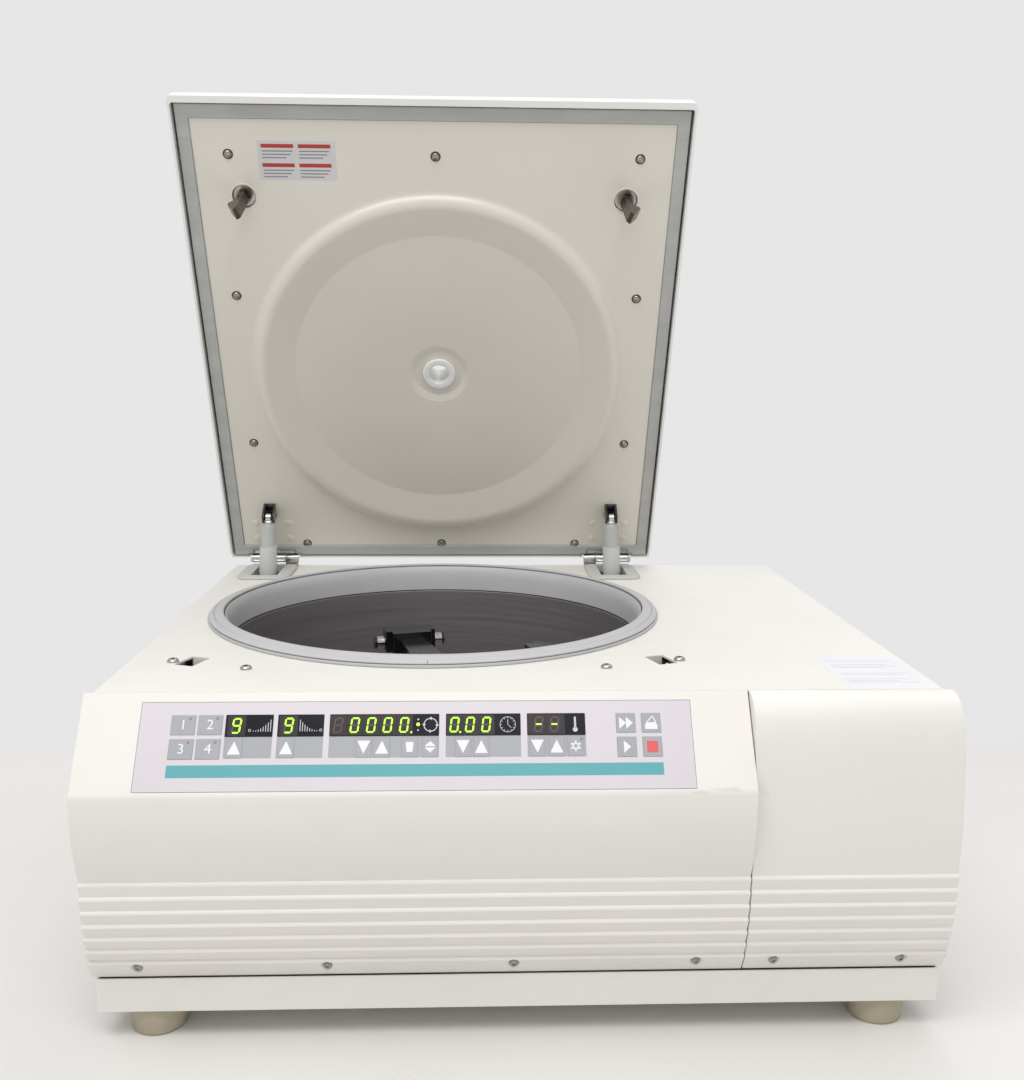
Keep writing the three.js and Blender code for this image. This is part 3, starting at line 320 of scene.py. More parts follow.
def coated(name, colour, rough=0.45, drift=0.03, drift_scale=6, grain=900, bump=0.05, metal=0.0,
           rough_drift=0.06, stretch=(1, 1, 1), coat=0.0, specular=0.5):
    """A finish with slow drift of tone, a fine grain and a bump."""
    finish = bpy.data.materials.new(name)
    finish.use_nodes = True
    tree = finish.node_tree
    shader = tree.nodes["Principled BSDF"]
    set_inputs(shader, Metallic=metal, Coat_Weight=coat, Specular_IOR_Level=specular)
    shader.inputs["Coat Roughness"].default_value = 0.12
    place = node(tree, "ShaderNodeTexCoord")
    mapping = node(tree, "ShaderNodeMapping")
    mapping.inputs["Scale"].default_value = stretch
    tree.links.new(place.outputs["Object"], mapping.inputs["Vector"])
    slow = set_inputs(node(tree, "ShaderNodeTexNoise"), Scale=drift_scale, Detail=3.0, Roughness=0.6)
    fine = set_inputs(node(tree, "ShaderNodeTexNoise"), Scale=grain, Detail=2.0, Roughness=0.5)
    tones = node(tree, "ShaderNodeValToRGB")
    tones.color_ramp.elements[0].position = 0.3
    tones.color_ramp.elements[0].color = shade(colour, 1 - drift)
    tones.color_ramp.elements[1].position = 0.7
    tones.color_ramp.elements[1].color = shade(colour, 1 + drift)
    gloss = node(tree, "ShaderNodeMapRange")
    set_inputs(gloss, From_Min=0.3, From_Max=0.7)
    gloss.inputs["To Min"].default_value = max(0.02, rough - rough_drift)
    gloss.inputs["To Max"].default_value = min(1.0, rough + rough_drift)
    relief = set_inputs(node(tree, "ShaderNodeBump"), Strength=bump, Distance=0.0004)
    for noise in (slow, fine):
        tree.links.new(mapping.outputs["Vector"], noise.inputs["Vector"])
    tree.links.new(slow.outputs["Fac"], tones.inputs["Fac"])
    tree.links.new(slow.outputs["Fac"], gloss.inputs["Value"])
    tree.links.new(fine.outputs["Fac"], relief.inputs["Height"])
    tree.links.new(tones.outputs["Color"], shader.inputs["Base Color"])
    tree.links.new(gloss.outputs["Result"], shader.inputs["Roughness"])
    tree.links.new(relief.outputs["Normal"], shader.inputs["Normal"])
    return finish


def recolour(finish, colour, mask, amount=1.0):
    """Lays another colour over a finish wherever the mask, a socket from 0 to 1, says so."""
    tree = finish.node_tree
    shader = tree.nodes["Principled BSDF"]
    before = shader.inputs["Base Color"].links[0].from_socket
    over = node(tree, "ShaderNodeMix", data_type="RGBA")
    strength = node(tree, "ShaderNodeMath", operation="MULTIPLY")
    strength.inputs[1].default_value = amount
    tree.links.new(mask, strength.inputs[0])
    tree.links.new(strength.outputs[0], over.inputs["Factor"])
    tree.links.new(before, over.inputs["A"])
    over.inputs["B"].default_value = tuple(colour) + (1.0,)
    tree.links.new(over.outputs["Result"], shader.inputs["Base Color"])
    return finish


# %% Masks
def coordinates(finish, matrix=None):
    """The X, Y and Z of the surface, in metres, seen in the frame of a placed piece."""
    tree = finish.node_tree
    place = node(tree, "ShaderNodeTexCoord")
    split = node(tree, "ShaderNodeSeparateXYZ")
    if matrix is None:
        tree.links.new(place.outputs["Object"], split.inputs[0])
        return split
    back = matrix.inverted()
    mapping = node(tree, "ShaderNodeMapping")
    mapping.inputs["Location"].default_value = back.to_translation()
    mapping.inputs["Rotation"].default_value = back.to_euler()
    tree.links.new(place.outputs["Object"], mapping.inputs["Vector"])
    tree.links.new(mapping.outputs["Vector"], split.inputs[0])
    return split


def between(finish, socket, low, high, blur=0.00015):
    """A mask that is 1 while a value lies between two limits."""
    tree = finish.node_tree
    middle = node(tree, "ShaderNodeMath", operation="SUBTRACT")
    middle.inputs[1].default_value = (low + high) / 2
    size = node(tree, "ShaderNodeMath", operation="ABSOLUTE")
    edge = node(tree, "ShaderNodeMapRange")
    half = (high - low) / 2
    edge.inputs["From Min"].default_value = half + blur
    edge.inputs["From Max"].default_value = half - blur
    tree.links.new(socket, middle.inputs[0])
    tree.links.new(middle.outputs[0], size.inputs[0])
    tree.links.new(size.outputs[0], edge.inputs["Value"])
    return edge.outputs["Result"]


def both(finish, first, second, operation="MULTIPLY"):
    tree = finish.node_tree
    joint = node(tree, "ShaderNodeMath", operation=operation)
    tree.links.new(first, joint.inputs[0])
    tree.links.new(second, joint.inputs[1])
    return joint.outputs[0]


def noise_mask(finish, scale, low, high, detail=4.0, stretch=(1, 1, 1)):
    tree = finish.node_tree
    place = node(tree, "ShaderNodeTexCoord")
    mapping = node(tree, "ShaderNodeMapping")
    mapping.inputs["Scale"].default_value = stretch
    noise = set_inputs(node(tree, "ShaderNodeTexNoise"), Scale=scale, Detail=detail)
    edge = node(tree, "ShaderNodeMapRange")
    edge.inputs["From Min"].default_value = low
    edge.inputs["From Max"].default_value = high
    tree.links.new(place.outputs["Object"], mapping.inputs["Vector"])
    tree.links.new(mapping.outputs["Vector"], noise.inputs["Vector"])
    tree.links.new(noise.outputs["Fac"], edge.inputs["Value"])
    return edge.outputs["Result"]


# %% [markdown]
# ## The finishes themselves
# The housing is powder-coated sheet steel, the front mouldings are satin plastic that has picked up
# faint scuffs, and the lid's inner panel is a warmer, glossier paint. Rubber is matte with a slow
# mottle. Steel is metallic, with noise stretched into fine turning or brushing lines.

# %% Paints and plastics
HOUSING_PAINT = coated("housing_paint", (0.86, 0.845, 0.80), 0.42, 0.012, 5, 1400, 0.10)
MOULDING = coated("front_moulding", (0.87, 0.845, 0.80), 0.40, 0.015, 7, 2200, 0.06)
LID_SKIN = coated("lid_moulding", (0.88, 0.87, 0.84), 0.38, 0.012, 5, 1600, 0.05)
PANEL_PAINT = coated("lid_panel_paint", (0.77, 0.735, 0.655), 0.34, 0.02, 4, 1500, 0.07, coat=0.15)
GREY_PLASTIC = coated("grey_plastic", (0.60, 0.61, 0.58), 0.45, 0.03, 20, 1800, 0.08)
SPRING_PAINT = coated("spring_paint", (0.48, 0.49, 0.47), 0.42, 0.04, 25, 900, 0.05)
KEY_PLASTIC = coated("key_grey", (0.40, 0.415, 0.435), 0.42, 0.02, 60, 3000, 0.08)
KEY_RED = coated("key_red", (0.80, 0.115, 0.12), 0.42, 0.03, 80, 3000, 0.06)
WHITE_INK = coated("white_ink", (0.90, 0.90, 0.90), 0.5, 0.02, 90, 3000, 0.04)
GREY_INK = coated("grey_ink", (0.24, 0.25, 0.26), 0.5, 0.03, 90, 3000, 0.04)
WHITE_PLASTIC = coated("white_plastic", (0.88, 0.88, 0.86), 0.3, 0.01, 30, 1500, 0.03)
BLACK_PLASTIC = coated("black_plastic", (0.012, 0.012, 0.013), 0.4, 0.2, 30, 1400, 0.12)
FORK_BLACK = coated("fork_black", (0.009, 0.009, 0.011), 0.22, 0.3, 60, 700, 0.10, coat=0.5)
COMPRESSOR_BLACK = coated("compressor_black", (0.012, 0.012, 0.013), 0.3, 0.2, 8, 600, 0.08, coat=0.3)
COLLAR_PLASTIC = coated("chamber_collar", (0.60, 0.61, 0.62), 0.38, 0.03, 9, 1400, 0.04)
LABEL_PAPER = coated("label_paper", (0.66, 0.645, 0.65), 0.4, 0.02, 30, 2500, 0.05)
STICKER_PAPER = coated("sticker_paper", (0.83, 0.83, 0.86), 0.45, 0.015, 20, 2500, 0.05)
STICKER_INK = coated("sticker_ink", (0.60, 0.60, 0.68), 0.45, 0.02, 20, 2500, 0.05)
LABEL_RED = coated("label_red", (0.46, 0.035, 0.03), 0.4, 0.05, 60, 2500, 0.05)
print("paints and plastics made")

# %% Rubbers and metals
SEAL_RUBBER = coated("edge_seal", (0.47, 0.475, 0.455), 0.6, 0.08, 14, 1200, 0.12, stretch=(1, 1, 4))
GASKET_RUBBER = coated("chamber_seal", (0.54, 0.55, 0.55), 0.5, 0.04, 12, 1500, 0.08)
FOOT_RUBBER = coated("foot_rubber", (0.47, 0.42, 0.31), 0.65, 0.08, 40, 900, 0.25)
BOWL_STEEL = coated("bowl_stainless", (0.30, 0.275, 0.29), 0.42, 0.10, 3, 260, 0.05, 0.6,
                    stretch=(1, 1, 60))
BRIGHT_STEEL = coated("plated_steel", (0.62, 0.62, 0.61), 0.16, 0.08, 40, 900, 0.04, 1.0)
TURNED_STEEL = coated("machined_steel", (0.52, 0.51, 0.50), 0.28, 0.06, 30, 1200, 0.08, 1.0,
                      stretch=(1, 1, 14))
SCREW_STEEL = coated("screw_steel", (0.40, 0.38, 0.35), 0.30, 0.20, 160, 1500, 0.10, 1.0)
DARK_RIM = coated("dark_rim", (0.035, 0.03, 0.026), 0.5, 0.3, 200, 1500, 0.2)
HOOK_STEEL = coated("hook_steel", (0.085, 0.065, 0.05), 0.28, 0.35, 90, 900, 0.15, 0.9)
ZINC = coated("galvanised_steel", (0.45, 0.46, 0.47), 0.4, 0.18, 60, 300, 0.08, 0.9)
CASTING = coated("motor_casting", (0.40, 0.41, 0.41), 0.5, 0.08, 30, 400, 0.25, 0.8)
SILVER = coated("hook_disc", (0.50, 0.47, 0.44), 0.35, 0.12, 60, 1200, 0.10, 0.8)
ROTOR_BLACK = coated("rotor_black", (0.012, 0.012, 0.013), 0.2, 0.3, 30, 900, 0.06, 0.2, coat=0.6)
FIN_STOCK = coated("fin_stock", (0.55, 0.56, 0.57), 0.4, 0.08, 50, 900, 0.1, 0.9)
print("rubbers and metals made")

# %% [markdown]
# ## Frames of the tilted parts
# Two parts don't lie square: the control face, which slopes towards the user, and the lid, which stands
# open. Their own frames are written once, so that symbols and screws can be laid out flat and then
# carried to their place. On the control face y runs up the slope; on the lid it runs to the hinge.

# %% Frames
SEAM_Y, DECK_Z = -281.0, 305.0
SLOPE = math.atan2(71.5, 48)
CONTROL = Matrix.Translation((0, SEAM_Y * MM, DECK_Z * MM)) @ Matrix.Rotation(SLOPE, 4, "X")
LID_X, HINGE_Y, HINGE_Z = -85.0, 313.6, 315.0
LID_ANGLE = math.radians(64.5)
LID = (Matrix.Translation((LID_X * MM, HINGE_Y * MM, HINGE_Z * MM))
       @ Matrix.Rotation(-LID_ANGLE, 4, "X"))
CHAMBER_Y = 38.6
CHAMBER = Matrix.Translation((LID_X * MM, CHAMBER_Y * MM, 0))
print("control face slopes", round(math.degrees(SLOPE), 1), "degrees")


def lay(piece, matrix, body, finish=None):
    """Carries a finished piece to its place, and lets it ride on a body."""
    piece.data.transform(matrix)
    if finish:
        wear(piece, finish)
    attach(piece, body)
    return piece


def lay_copies(piece, places, body):
    """Lays a copy of a finished piece at each of the places."""
    for one in copies(piece, places):
        lay(one, Matrix.Identity(4), body)


# %% [markdown]
# ## Tray, housing and front mouldings
# The tray and the housing are folded sheet, and the two front parts are moulded plastic with soft
# edges. Their shapes come from the frame, so each is a cleaned copy with a bevel of the right size: small
# on sheet metal, larger on the mouldings. Six shallow wells for the front screws are cut by a boolean.

# %% Sheet metal
TRAY_DUST = noise_mask(HOUSING_PAINT, 30, 0.52, 0.75)
recolour(HOUSING_PAINT, (0.70, 0.67, 0.60), TRAY_DUST, 0.10)
refined("base_tray", HOUSING_PAINT, 0.7)
refined("housing_cover", HOUSING_PAINT, 0.5)
refined("rear_panel", HOUSING_PAINT, 0.4, 1)
for name, finish, edge in (("armour_ring", ZINC, 0.8), ("drive_motor", CASTING, 0.8),
                           ("condenser", FIN_STOCK, 0.0), ("compressor", COMPRESSOR_BLACK, 0.8)):
    refined(name, finish, edge, 1)
print("sheet metal done")

# %% Scuffs on the moulding
fascia_place = coordinates(MOULDING)
nose_band = between(MOULDING, fascia_place.outputs["Z"], 0.212, 0.236, 0.006)
seam_band = between(MOULDING, fascia_place.outputs["X"], 0.13, 0.196, 0.03)
scuffs = noise_mask(MOULDING, 60, 0.60, 0.68, 6.0, (0.4, 1, 1.6))
recolour(MOULDING, (0.42, 0.40, 0.36), both(MOULDING, both(MOULDING, nose_band, seam_band), scuffs), 0.40)
foot_band = between(MOULDING, fascia_place.outputs["Z"], 0.05, 0.075, 0.02)
grime = noise_mask(MOULDING, 18, 0.45, 0.75, 5.0)
recolour(MOULDING, (0.60, 0.56, 0.48), both(MOULDING, foot_band, grime), 0.22)

# %% Front mouldings with screw wells
FRONT_SCREWS = [-329, -168, -8, 150, 218, 330]
SCREW_Z, WELL_Y, WELL_R = 68.0, -298.2, 5.6


def facing_front(x, y, z):
    """A matrix that turns a piece made on the Z axis to face the user."""
    return Matrix.Translation((x * MM, y * MM, z * MM)) @ Matrix.Rotation(math.radians(90), 4, "X")


def drill(piece, outline_radius, places, low, high, segments=32):
    """Cuts round holes between two heights of each place's own axis."""
    cutters = copies(plate("cutter", disc(0, 0, outline_radius, segments), low, high), places)
    cutter = join(cutters, "cutters")
    take(piece)
    hole = piece.modifiers.new("hole", "BOOLEAN")
    hole.operation = "DIFFERENCE"
    hole.solver = "EXACT"
    hole.object = cutter
    bpy.ops.object.modifier_apply(modifier=hole.name)
    bpy.data.objects.remove(cutter)
    return piece


fascia = refined("front_fascia", MOULDING, 0.9, 3)
side_moulding = refined("front_side_cover", MOULDING, 0.9, 3)
for piece, wells in ((fascia, FRONT_SCREWS[:4]), (side_moulding, FRONT_SCREWS[4:])):
    drill(piece, WELL_R, [facing_front(x, WELL_Y, SCREW_Z) for x in wells], 0, 14)
    even(smooth(piece))
    print(piece.name, len(piece.data.polygons), "faces")

# %% [markdown]
# ## Screws
# One screw is modelled and copied. Its domed head is a circle turned through a short outline, and its
# socket is an inset pushed down into the top. The lid's screws sit on a dark rim, and the deck's screws
# are larger bright domes, so the same head is made in three sizes.


# %% One screw
def screw(name, head=4.6, tall=2.6, socket=2.1, finish=SCREW_STEEL):
    """A button head with a socket, on the Z axis with its seat at zero."""
    dome = [(head * 0.45, tall), (head * 0.7, tall * 0.86), (head * 0.9, tall * 0.55), (head, tall * 0.12),
            (head * 0.98, 0.0)]
    piece = turned(name, dome, 24, closed=False)
    open_mesh(piece)
    bpy.ops.mesh.select_all(action="DESELECT")
    bpy.ops.object.mode_set(mode="OBJECT")
    take(piece)
    mesh = piece.data
    for corner in mesh.vertices:
        corner.select = corner.co.z > (tall - 0.01) * MM
    for line in mesh.edges:
        line.select = all(mesh.vertices[i].select for i in line.vertices)
    bpy.ops.object.mode_set(mode="EDIT")
    bpy.ops.mesh.select_mode(type="EDGE")
    narrow = socket / (head * 0.45)
    bpy.ops.mesh.extrude_region_move(TRANSFORM_OT_translate={"value": (0, 0, -0.1 * MM)})
    bpy.ops.transform.resize(value=(narrow, narrow, 1), center_override=(0, 0, 0))
    bpy.ops.mesh.extrude_region_move(TRANSFORM_OT_translate={"value": (0, 0, -tall * 0.55 * MM)})
    bpy.ops.mesh.edge_face_add()
    bpy.ops.mesh.select_all(action="DESELECT")
    bpy.ops.mesh.select_non_manifold()
    bpy.ops.mesh.edge_face_add()
    close_mesh()
    smooth(piece, 40)
    return wear(piece, finish)


def collar(name, inner, outer, low, high, finish, segments=32):
    edge = min(0.4, (high - low) / 2)
    outline = [(inner, low), (outer, low), (outer, high - edge), (outer - edge, high), (inner, high)]
    return wear(smooth(turned(name, outline, segments)), finish)


# %% Screws of the front, the deck and the lid
front_places = [facing_front(x, WELL_Y, SCREW_Z) for x in FRONT_SCREWS]
lay_copies(screw("front_screw", 4.0, 2.2, 1.7), front_places, "root")

DECK_SCREWS = [(-236, -183), (-164, -208.5), (164, -208.5), (236, -183)]
deck_places = [Matrix.Translation(((LID_X + x) * MM, y * MM, (DECK_Z + 0.02) * MM)) for x, y in DECK_SCREWS]
lay_copies(screw("deck_screw", 5.6, 3.4, 1.9, TURNED_STEEL), deck_places, "root")

PANEL_W = 2.0  # face of the lid's inner panel in the lid's frame
LID_SCREWS = [(-227.5, 543), (0, 543), (227.5, 543), (-236.5, 378), (236.5, 378), (-237, 179), (237, 179),
              (-181, 23.5), (181, 23.5), (0, 24)]


def on_lid(u, v, w=PANEL_W):
    """A matrix that turns a piece made on the Z axis to stand out of the lid's inner face."""
    return (LID @ Matrix.Translation((u * MM, -v * MM, w * MM))
            @ Matrix.Rotation(math.radians(180), 4, "X"))


lid_places = [on_lid(u, v) for u, v in LID_SCREWS]
lay_copies(screw("lid_screw", 4.5, 2.6, 2.1), lid_places, "lid")
lay_copies(collar("lid_screw_rim", 3.9, 5.6, 0.0, 0.7, DARK_RIM), lid_places, "lid")
print(len(FRONT_SCREWS) + len(DECK_SCREWS) + len(LID_SCREWS), "screws")

# %% [markdown]
# ## Chamber
# The seal ring, the collar and the bowl are turned parts, and a large circle shows every corner, so they
# are turned anew with many more sides than the frame has. The ring's two grooves are part of its
# outline. A thin dark ring of painted shade lies in each, and one at the ring's inner edge, where it
# meets the collar. A last ring fills the joint between the bowl and the collar.

# %% Bowl, collar and seal ring
FINE = 192
RIM_Z, BOWL_FLOOR = 281.0, 130.0


def arc(cx, cz, radius, start, end, steps=6):
    return [(cx + radius * math.cos(math.radians(a)), cz + radius * math.sin(math.radians(a)))
            for a in (start + (end - start) * i / steps for i in range(steps + 1))]


bowl_outline = ([(26, BOWL_FLOOR + 2)] + arc(203.5, BOWL_FLOOR + 22, 20, -90, 0, 8)
                + [(223.5, RIM_Z - 1.2), (224.7, RIM_Z), (229.4, RIM_Z), (229.4, RIM_Z - 2),
                   (225.5, RIM_Z - 2)]
                + arc(203.5, BOWL_FLOOR + 22, 22, 0, -90, 8) + [(26, BOWL_FLOOR)])
bowl = smooth(turned("bowl_spun", bowl_outline, FINE), 40)
lay(bowl, CHAMBER, "root", BOWL_STEEL)
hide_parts("chamber_bowl", "chamber_floor")

collar_outline = ([(230.2, 311.4), (228.4, RIM_Z + 0.5), (225.4, RIM_Z + 0.5), (225.5, RIM_Z + 8)]
                  + [(225.9, 299.6), (226.8, 304.8), (228.2, 309.0), (229.6, 311.5)])
chamber_wall = smooth(turned("collar_moulded", collar_outline, FINE), 50)
lay(chamber_wall, CHAMBER, "root", COLLAR_PLASTIC)
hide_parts("chamber_collar")

seal_outline = [(248.4, 305.5), (248.5, 307.4), (248.1, 307.9), (246.4, 307.8), (246.2, 308.9),
                (247.2, 309.0), (247.0, 309.7), (244.6, 311.7), (242.6, 312.3), (241.8, 311.7),
                (241.2, 312.5), (239.4, 313.4), (236.2, 314.3), (233.2, 314.55), (232.1, 314.2),
                (231.4, 313.2), (231.3, 300.2), (237.4, 300.2), (237.4, 305.5)]
seal_ring = smooth(turned("seal_ring", seal_outline, FINE), 28)
lay(seal_ring, CHAMBER, "root", GASKET_RUBBER)
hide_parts("chamber_gasket")

joint_ring = smooth(turned("bowl_joint", [(223.9, 280.4), (224.2, 281.35), (226.5, 281.35), (226.5, 281.1),
                                          (224.9, 281.1)], FINE))
lay(joint_ring, CHAMBER, "root", BLACK_PLASTIC)

# %% Painted shade: dark lines in the grooves of the seal ring
LINE = 0.3  # half the width and the whole height of a dark line
# Each dark ring is painted shade, laid where the grooves and the inner edge of the seal ring fall in shadow.
for r, z in ((246.4, 308.0), (241.8, 311.8), (231.2, 312.6)):
    groove = turned("seal_groove_shade", rectangle(r - LINE, r + LINE, z - LINE, z), FINE)
    lay(smooth(groove), CHAMBER, "root", DARK_RIM)

# %% Butt joint of the seal ring
BUTT = [(244.9, 311.45), (247.25, 309.55), (247.1, 309.35), (244.8, 311.2)]
butt = plate("seal_joint", [(r - 240, z - 300) for r, z in BUTT], -0.25, 0.25)
stand_up = Matrix.Rotation(math.radians(90), 4, "X") @ Matrix.Translation((240 * MM, 300 * MM, 0))
lay(butt, CHAMBER @ Matrix.Rotation(math.radians(-90), 4, "Z") @ stand_up, "root", DARK_RIM)
print("chamber ring", round(2 * 248.5), "mm across")

# %% [markdown]
# ## Rotor
# The cross is a black forging that holds four swing-out buckets on steel studs. The frame's cross gets
# softened edges, and each of the eight studs gets a polished sleeve, turned once and copied by rotation.

# %% Rotor cross and stud sleeves
refined("rotor_cross", ROTOR_BLACK, 1.0, 3)
refined("drive_shaft", TURNED_STEEL, 0.4, 2)
ROTOR = CHAMBER @ Matrix.Rotation(math.radians(16), 4, "Z")
STUD_Y, STUD_Z = 136.0, 236.0
along_x = Matrix.Rotation(math.radians(90), 4, "Y")
sleeve_places = []
for arm in range(4):
    for side in (-1, 1):
        at = Matrix.Translation((side * 36.4 * MM, STUD_Y * MM, STUD_Z * MM))
        sleeve_places.append(ROTOR @ Matrix.Rotation(math.radians(90 * arm), 4, "Z") @ at @ along_x)
sleeve = collar("stud_sleeve", 7.55, 8.2, -4.6, 4.6, BRIGHT_STEEL, 40)
lay_copies(sleeve, sleeve_places, "rotor")

# %% [markdown]
# ## Control foil
# The foil is a printed polyester sheet. Its print is a set of plain rectangles, so its finish paints them
# from coordinates measured on the slope: pale lavender, grey strips under the keys and a teal line.

# %% Printed foil
FOIL = coated("control_foil", (0.72, 0.675, 0.72), 0.36, 0.012, 12, 3200, 0.05)
foil_place = coordinates(FOIL, CONTROL)
across, upward = foil_place.outputs["X"], foil_place.outputs["Y"]
DISPLAYS = {"acceleration": (-249.2, -209.8), "braking": (-206.0, -167.7), "speed": (-163.0, -71.8),
            "time": (-66.2, -3.6), "temperature": (1.8, 50.8)}
STRIP_TOP, STRIP_FOOT = 38.4, 56.4
strip_rows = between(FOIL, upward, -STRIP_FOOT * MM, -STRIP_TOP * MM)
strips = None
for x0, x1 in DISPLAYS.values():
    column = between(FOIL, across, x0 * MM, x1 * MM)
    strips = column if strips is None else both(FOIL, strips, column, "MAXIMUM")
recolour(FOIL, (0.40, 0.415, 0.435), both(FOIL, strips, strip_rows))
teal_rows = between(FOIL, upward, -72.2 * MM, -61.8 * MM)
teal_columns = between(FOIL, across, -294.2 * MM, 114.6 * MM)
recolour(FOIL, (0.115, 0.42, 0.46), both(FOIL, teal_rows, teal_columns))
wear(frame["nodes"]["control_foil"], FOIL)

# %% [markdown]
# ## Keys and their symbols
# The keys stay as the frame has them. Each symbol is a thin raised plate that rides on its own key, so
# that it sinks when the key is pressed. Digits are font outlines, extruded and made a mesh; arrows and
# squares are drawn from a few points. Narrow grey bars fill the gap round each key, which is dark else.

# %% Key symbols
KEY_TOP, INK = 0.3, 0.12  # height of a key's face above the foil, thickness of a printed mark
NEAR, FAR = 0.07, 0.39  # the bars round a key lie between these distances from its edge
KEY_NODES = [name for name in frame["nodes"] if name.startswith("key_")]
for name in KEY_NODES:
    wear(frame["nodes"][name], KEY_PLASTIC)


def key_edges(name):
    """The left, right, low and high edge of a key, in mm on the control face."""
    source = frame["nodes"][name]
    flat = [CONTROL.inverted() @ source.matrix_world @ corner.co for corner in source.data.vertices]
    xs, ys = [p.x / MM for p in flat], [p.y / MM for p in flat]
    return min(xs), max(xs), min(ys), max(ys)


def digit(name, text, height, x, y, low):
    let_go()
    bpy.ops.object.text_add()
    piece = bpy.context.object
    piece.name = name
    piece.data.body = text
    piece.data.size = height * MM * 1.38
    piece.data.extrude = INK * MM / 2
    piece.data.align_x = "CENTER"
    piece.data.align_y = "CENTER"
    take(piece)
    bpy.ops.object.convert(target="MESH")
    piece = bpy.context.object
    piece.data.transform(Matrix.Translation((x * MM, y * MM, (low + INK / 2) * MM)))
    return piece


def arrow(x, y, up=True, half=5.4, tall=11.0):
    way = 1 if up else -1
    return [(x - half, y - way * tall / 2), (x + half, y - way * tall / 2), (x, y + way * tall / 2)]


def symbol(name, outlines, finish=WHITE_INK, low=KEY_TOP, thick=INK):
    pieces = [plate(f"{name}_part", outline, low, low + thick) for outline in outlines]
    return wear(join(pieces, name), finish)


def ring_outline(x, y, outer, inner, start, end, steps=20):
    turns = [math.radians(start + (end - start) * i / steps) for i in range(steps + 1)]
    far = [(x + outer * math.cos(a), y + outer * math.sin(a)) for a in turns]
    near = [(x + inner * math.cos(a), y + inner * math.sin(a)) for a in reversed(turns)]
    return far + near


# %% What each key shows
def key_outlines(name, x, y):
    if name.endswith("_up"):
        return [arrow(x, y)]
    if name.endswith("_down"):
        return [arrow(x, y, False)]
    if name == "key_quick_run":
        return [[(x - 5.6, y - 5.2), (x + 0.2, y), (x - 5.6, y + 5.2)],
                [(x + 0.2, y - 5.2), (x + 6.0, y), (x + 0.2, y + 5.2)]]
    if name == "key_start":
        return [[(x - 2.6, y - 5.2), (x + 3.4, y), (x - 2.6, y + 5.2)]]
    if name == "key_lid_open":
        return [rectangle(x - 5.2, x + 5.2, y - 5.4, y - 1.0), rectangle(x - 4.2, x + 4.2, y - 1.0, y + 0.4),
                [(x - 4.4, y + 0.4), (x - 3.4, y + 0.4), (x + 1.2, y + 4.8), (x + 1.0, y + 6.0)],
                [(x + 3.4, y + 0.4), (x + 4.4, y + 0.4), (x + 2.0, y + 5.8), (x + 1.0, y + 6.0)]]
    if name == "key_rotor_select":
        return [[(x - 2.4, y - 4.2), (x + 2.4, y - 4.2), (x + 3.2, y + 2.2), (x + 3.2, y + 4.2),
                 (x - 3.2, y + 4.2), (x - 3.2, y + 2.2)]]
    if name == "key_unit_change":
        return [[(x - 4.8, y + 0.5), (x + 4.8, y + 0.5), (x, y + 4.8)],
                [(x - 4.8, y - 0.5), (x, y - 4.8), (x + 4.8, y - 0.5)]]
    tooth = rectangle(-0.8, 0.8, 2.4, 4.4)
    teeth = [[(x + a * math.cos(t) - b * math.sin(t), y + a * math.sin(t) + b * math.cos(t))
              for a, b in tooth] for t in (math.radians(60 * i) for i in range(6))]
    return [ring_outline(x, y, 3.0, 1.6, 0, 180), ring_outline(x, y, 3.0, 1.6, 180, 360)] + teeth


surrounds = []
for name in KEY_NODES:
    x0, x1, y0, y1 = key_edges(name)
    x, y = (x0 + x1) / 2, (y0 + y1) / 2
    surrounds += [rectangle(x0 - FAR, x0 - NEAR, y0 - FAR, y1 + FAR),
                  rectangle(x1 + NEAR, x1 + FAR, y0 - FAR, y1 + FAR),
                  rectangle(x0 - NEAR, x1 + NEAR, y0 - FAR, y0 - NEAR),
                  rectangle(x0 - NEAR, x1 + NEAR, y1 + NEAR, y1 + FAR)]
    if name[4:].isdigit():
        mark = wear(digit(f"{name}_symbol", name[4:], 8.6, x, y, KEY_TOP), WHITE_INK)
    elif name == "key_stop":
        mark = symbol(f"{name}_symbol", [rounded(x - 4.6, x + 4.6, y - 4.8, y + 4.8, 0.4, 2)], KEY_RED)
    else:
        mark = symbol(f"{name}_symbol", key_outlines(name, x, y))
    lay(mark, CONTROL, name)
    if name[4:].isdigit() or name == "key_precool":
        dx, dy = (5.6, 5.6) if name[4:].isdigit() else (4.9, 5.9)
        lamp = symbol(f"{name}_lamp", [disc(x + dx, y + dy, 1.15, 16)], GREY_INK)
        lay(lamp, CONTROL, name)
lay(symbol("key_surrounds", surrounds, KEY_PLASTIC, -1.0, 0.97), CONTROL, "root")
print(len(KEY_NODES), "keys marked")

# %% [markdown]
# ## Displays
# Each display is a dark glossy window in the foil with seven-segment digits behind it. A segment is one
# six-cornered plate; a digit is seven of them, leaning a little. The lit ones give off light, and the
# unlit ones stay visible as faint grey shapes, as they do in real displays.

# %% Display finishes
WINDOW = coated("display_window", (0.010, 0.010, 0.016), 0.30, 0.15, 40, 2500, 0.02, specular=0.15)
CELL = coated("display_cell", (0.055, 0.045, 0.047), 0.30, 0.10, 60, 2500, 0.02, specular=0.15)
GHOST = coated("unlit_segment", (0.12, 0.092, 0.092), 0.3, 0.10, 60, 2500, 0.02, specular=0.2)
LIT = coated("lit_segment", (0.35, 0.85, 0.05), 0.4, 0.05, 90, 2500, 0.02)
lit_shader = LIT.node_tree.nodes["Principled BSDF"]
lit_shader.inputs["Emission Color"].default_value = (0.42, 1.0, 0.03, 1)
lit_shader.inputs["Emission Strength"].default_value = 1.1
ICON = coated("icon_ink", (0.62, 0.63, 0.66), 0.4, 0.02, 90, 2500, 0.02)

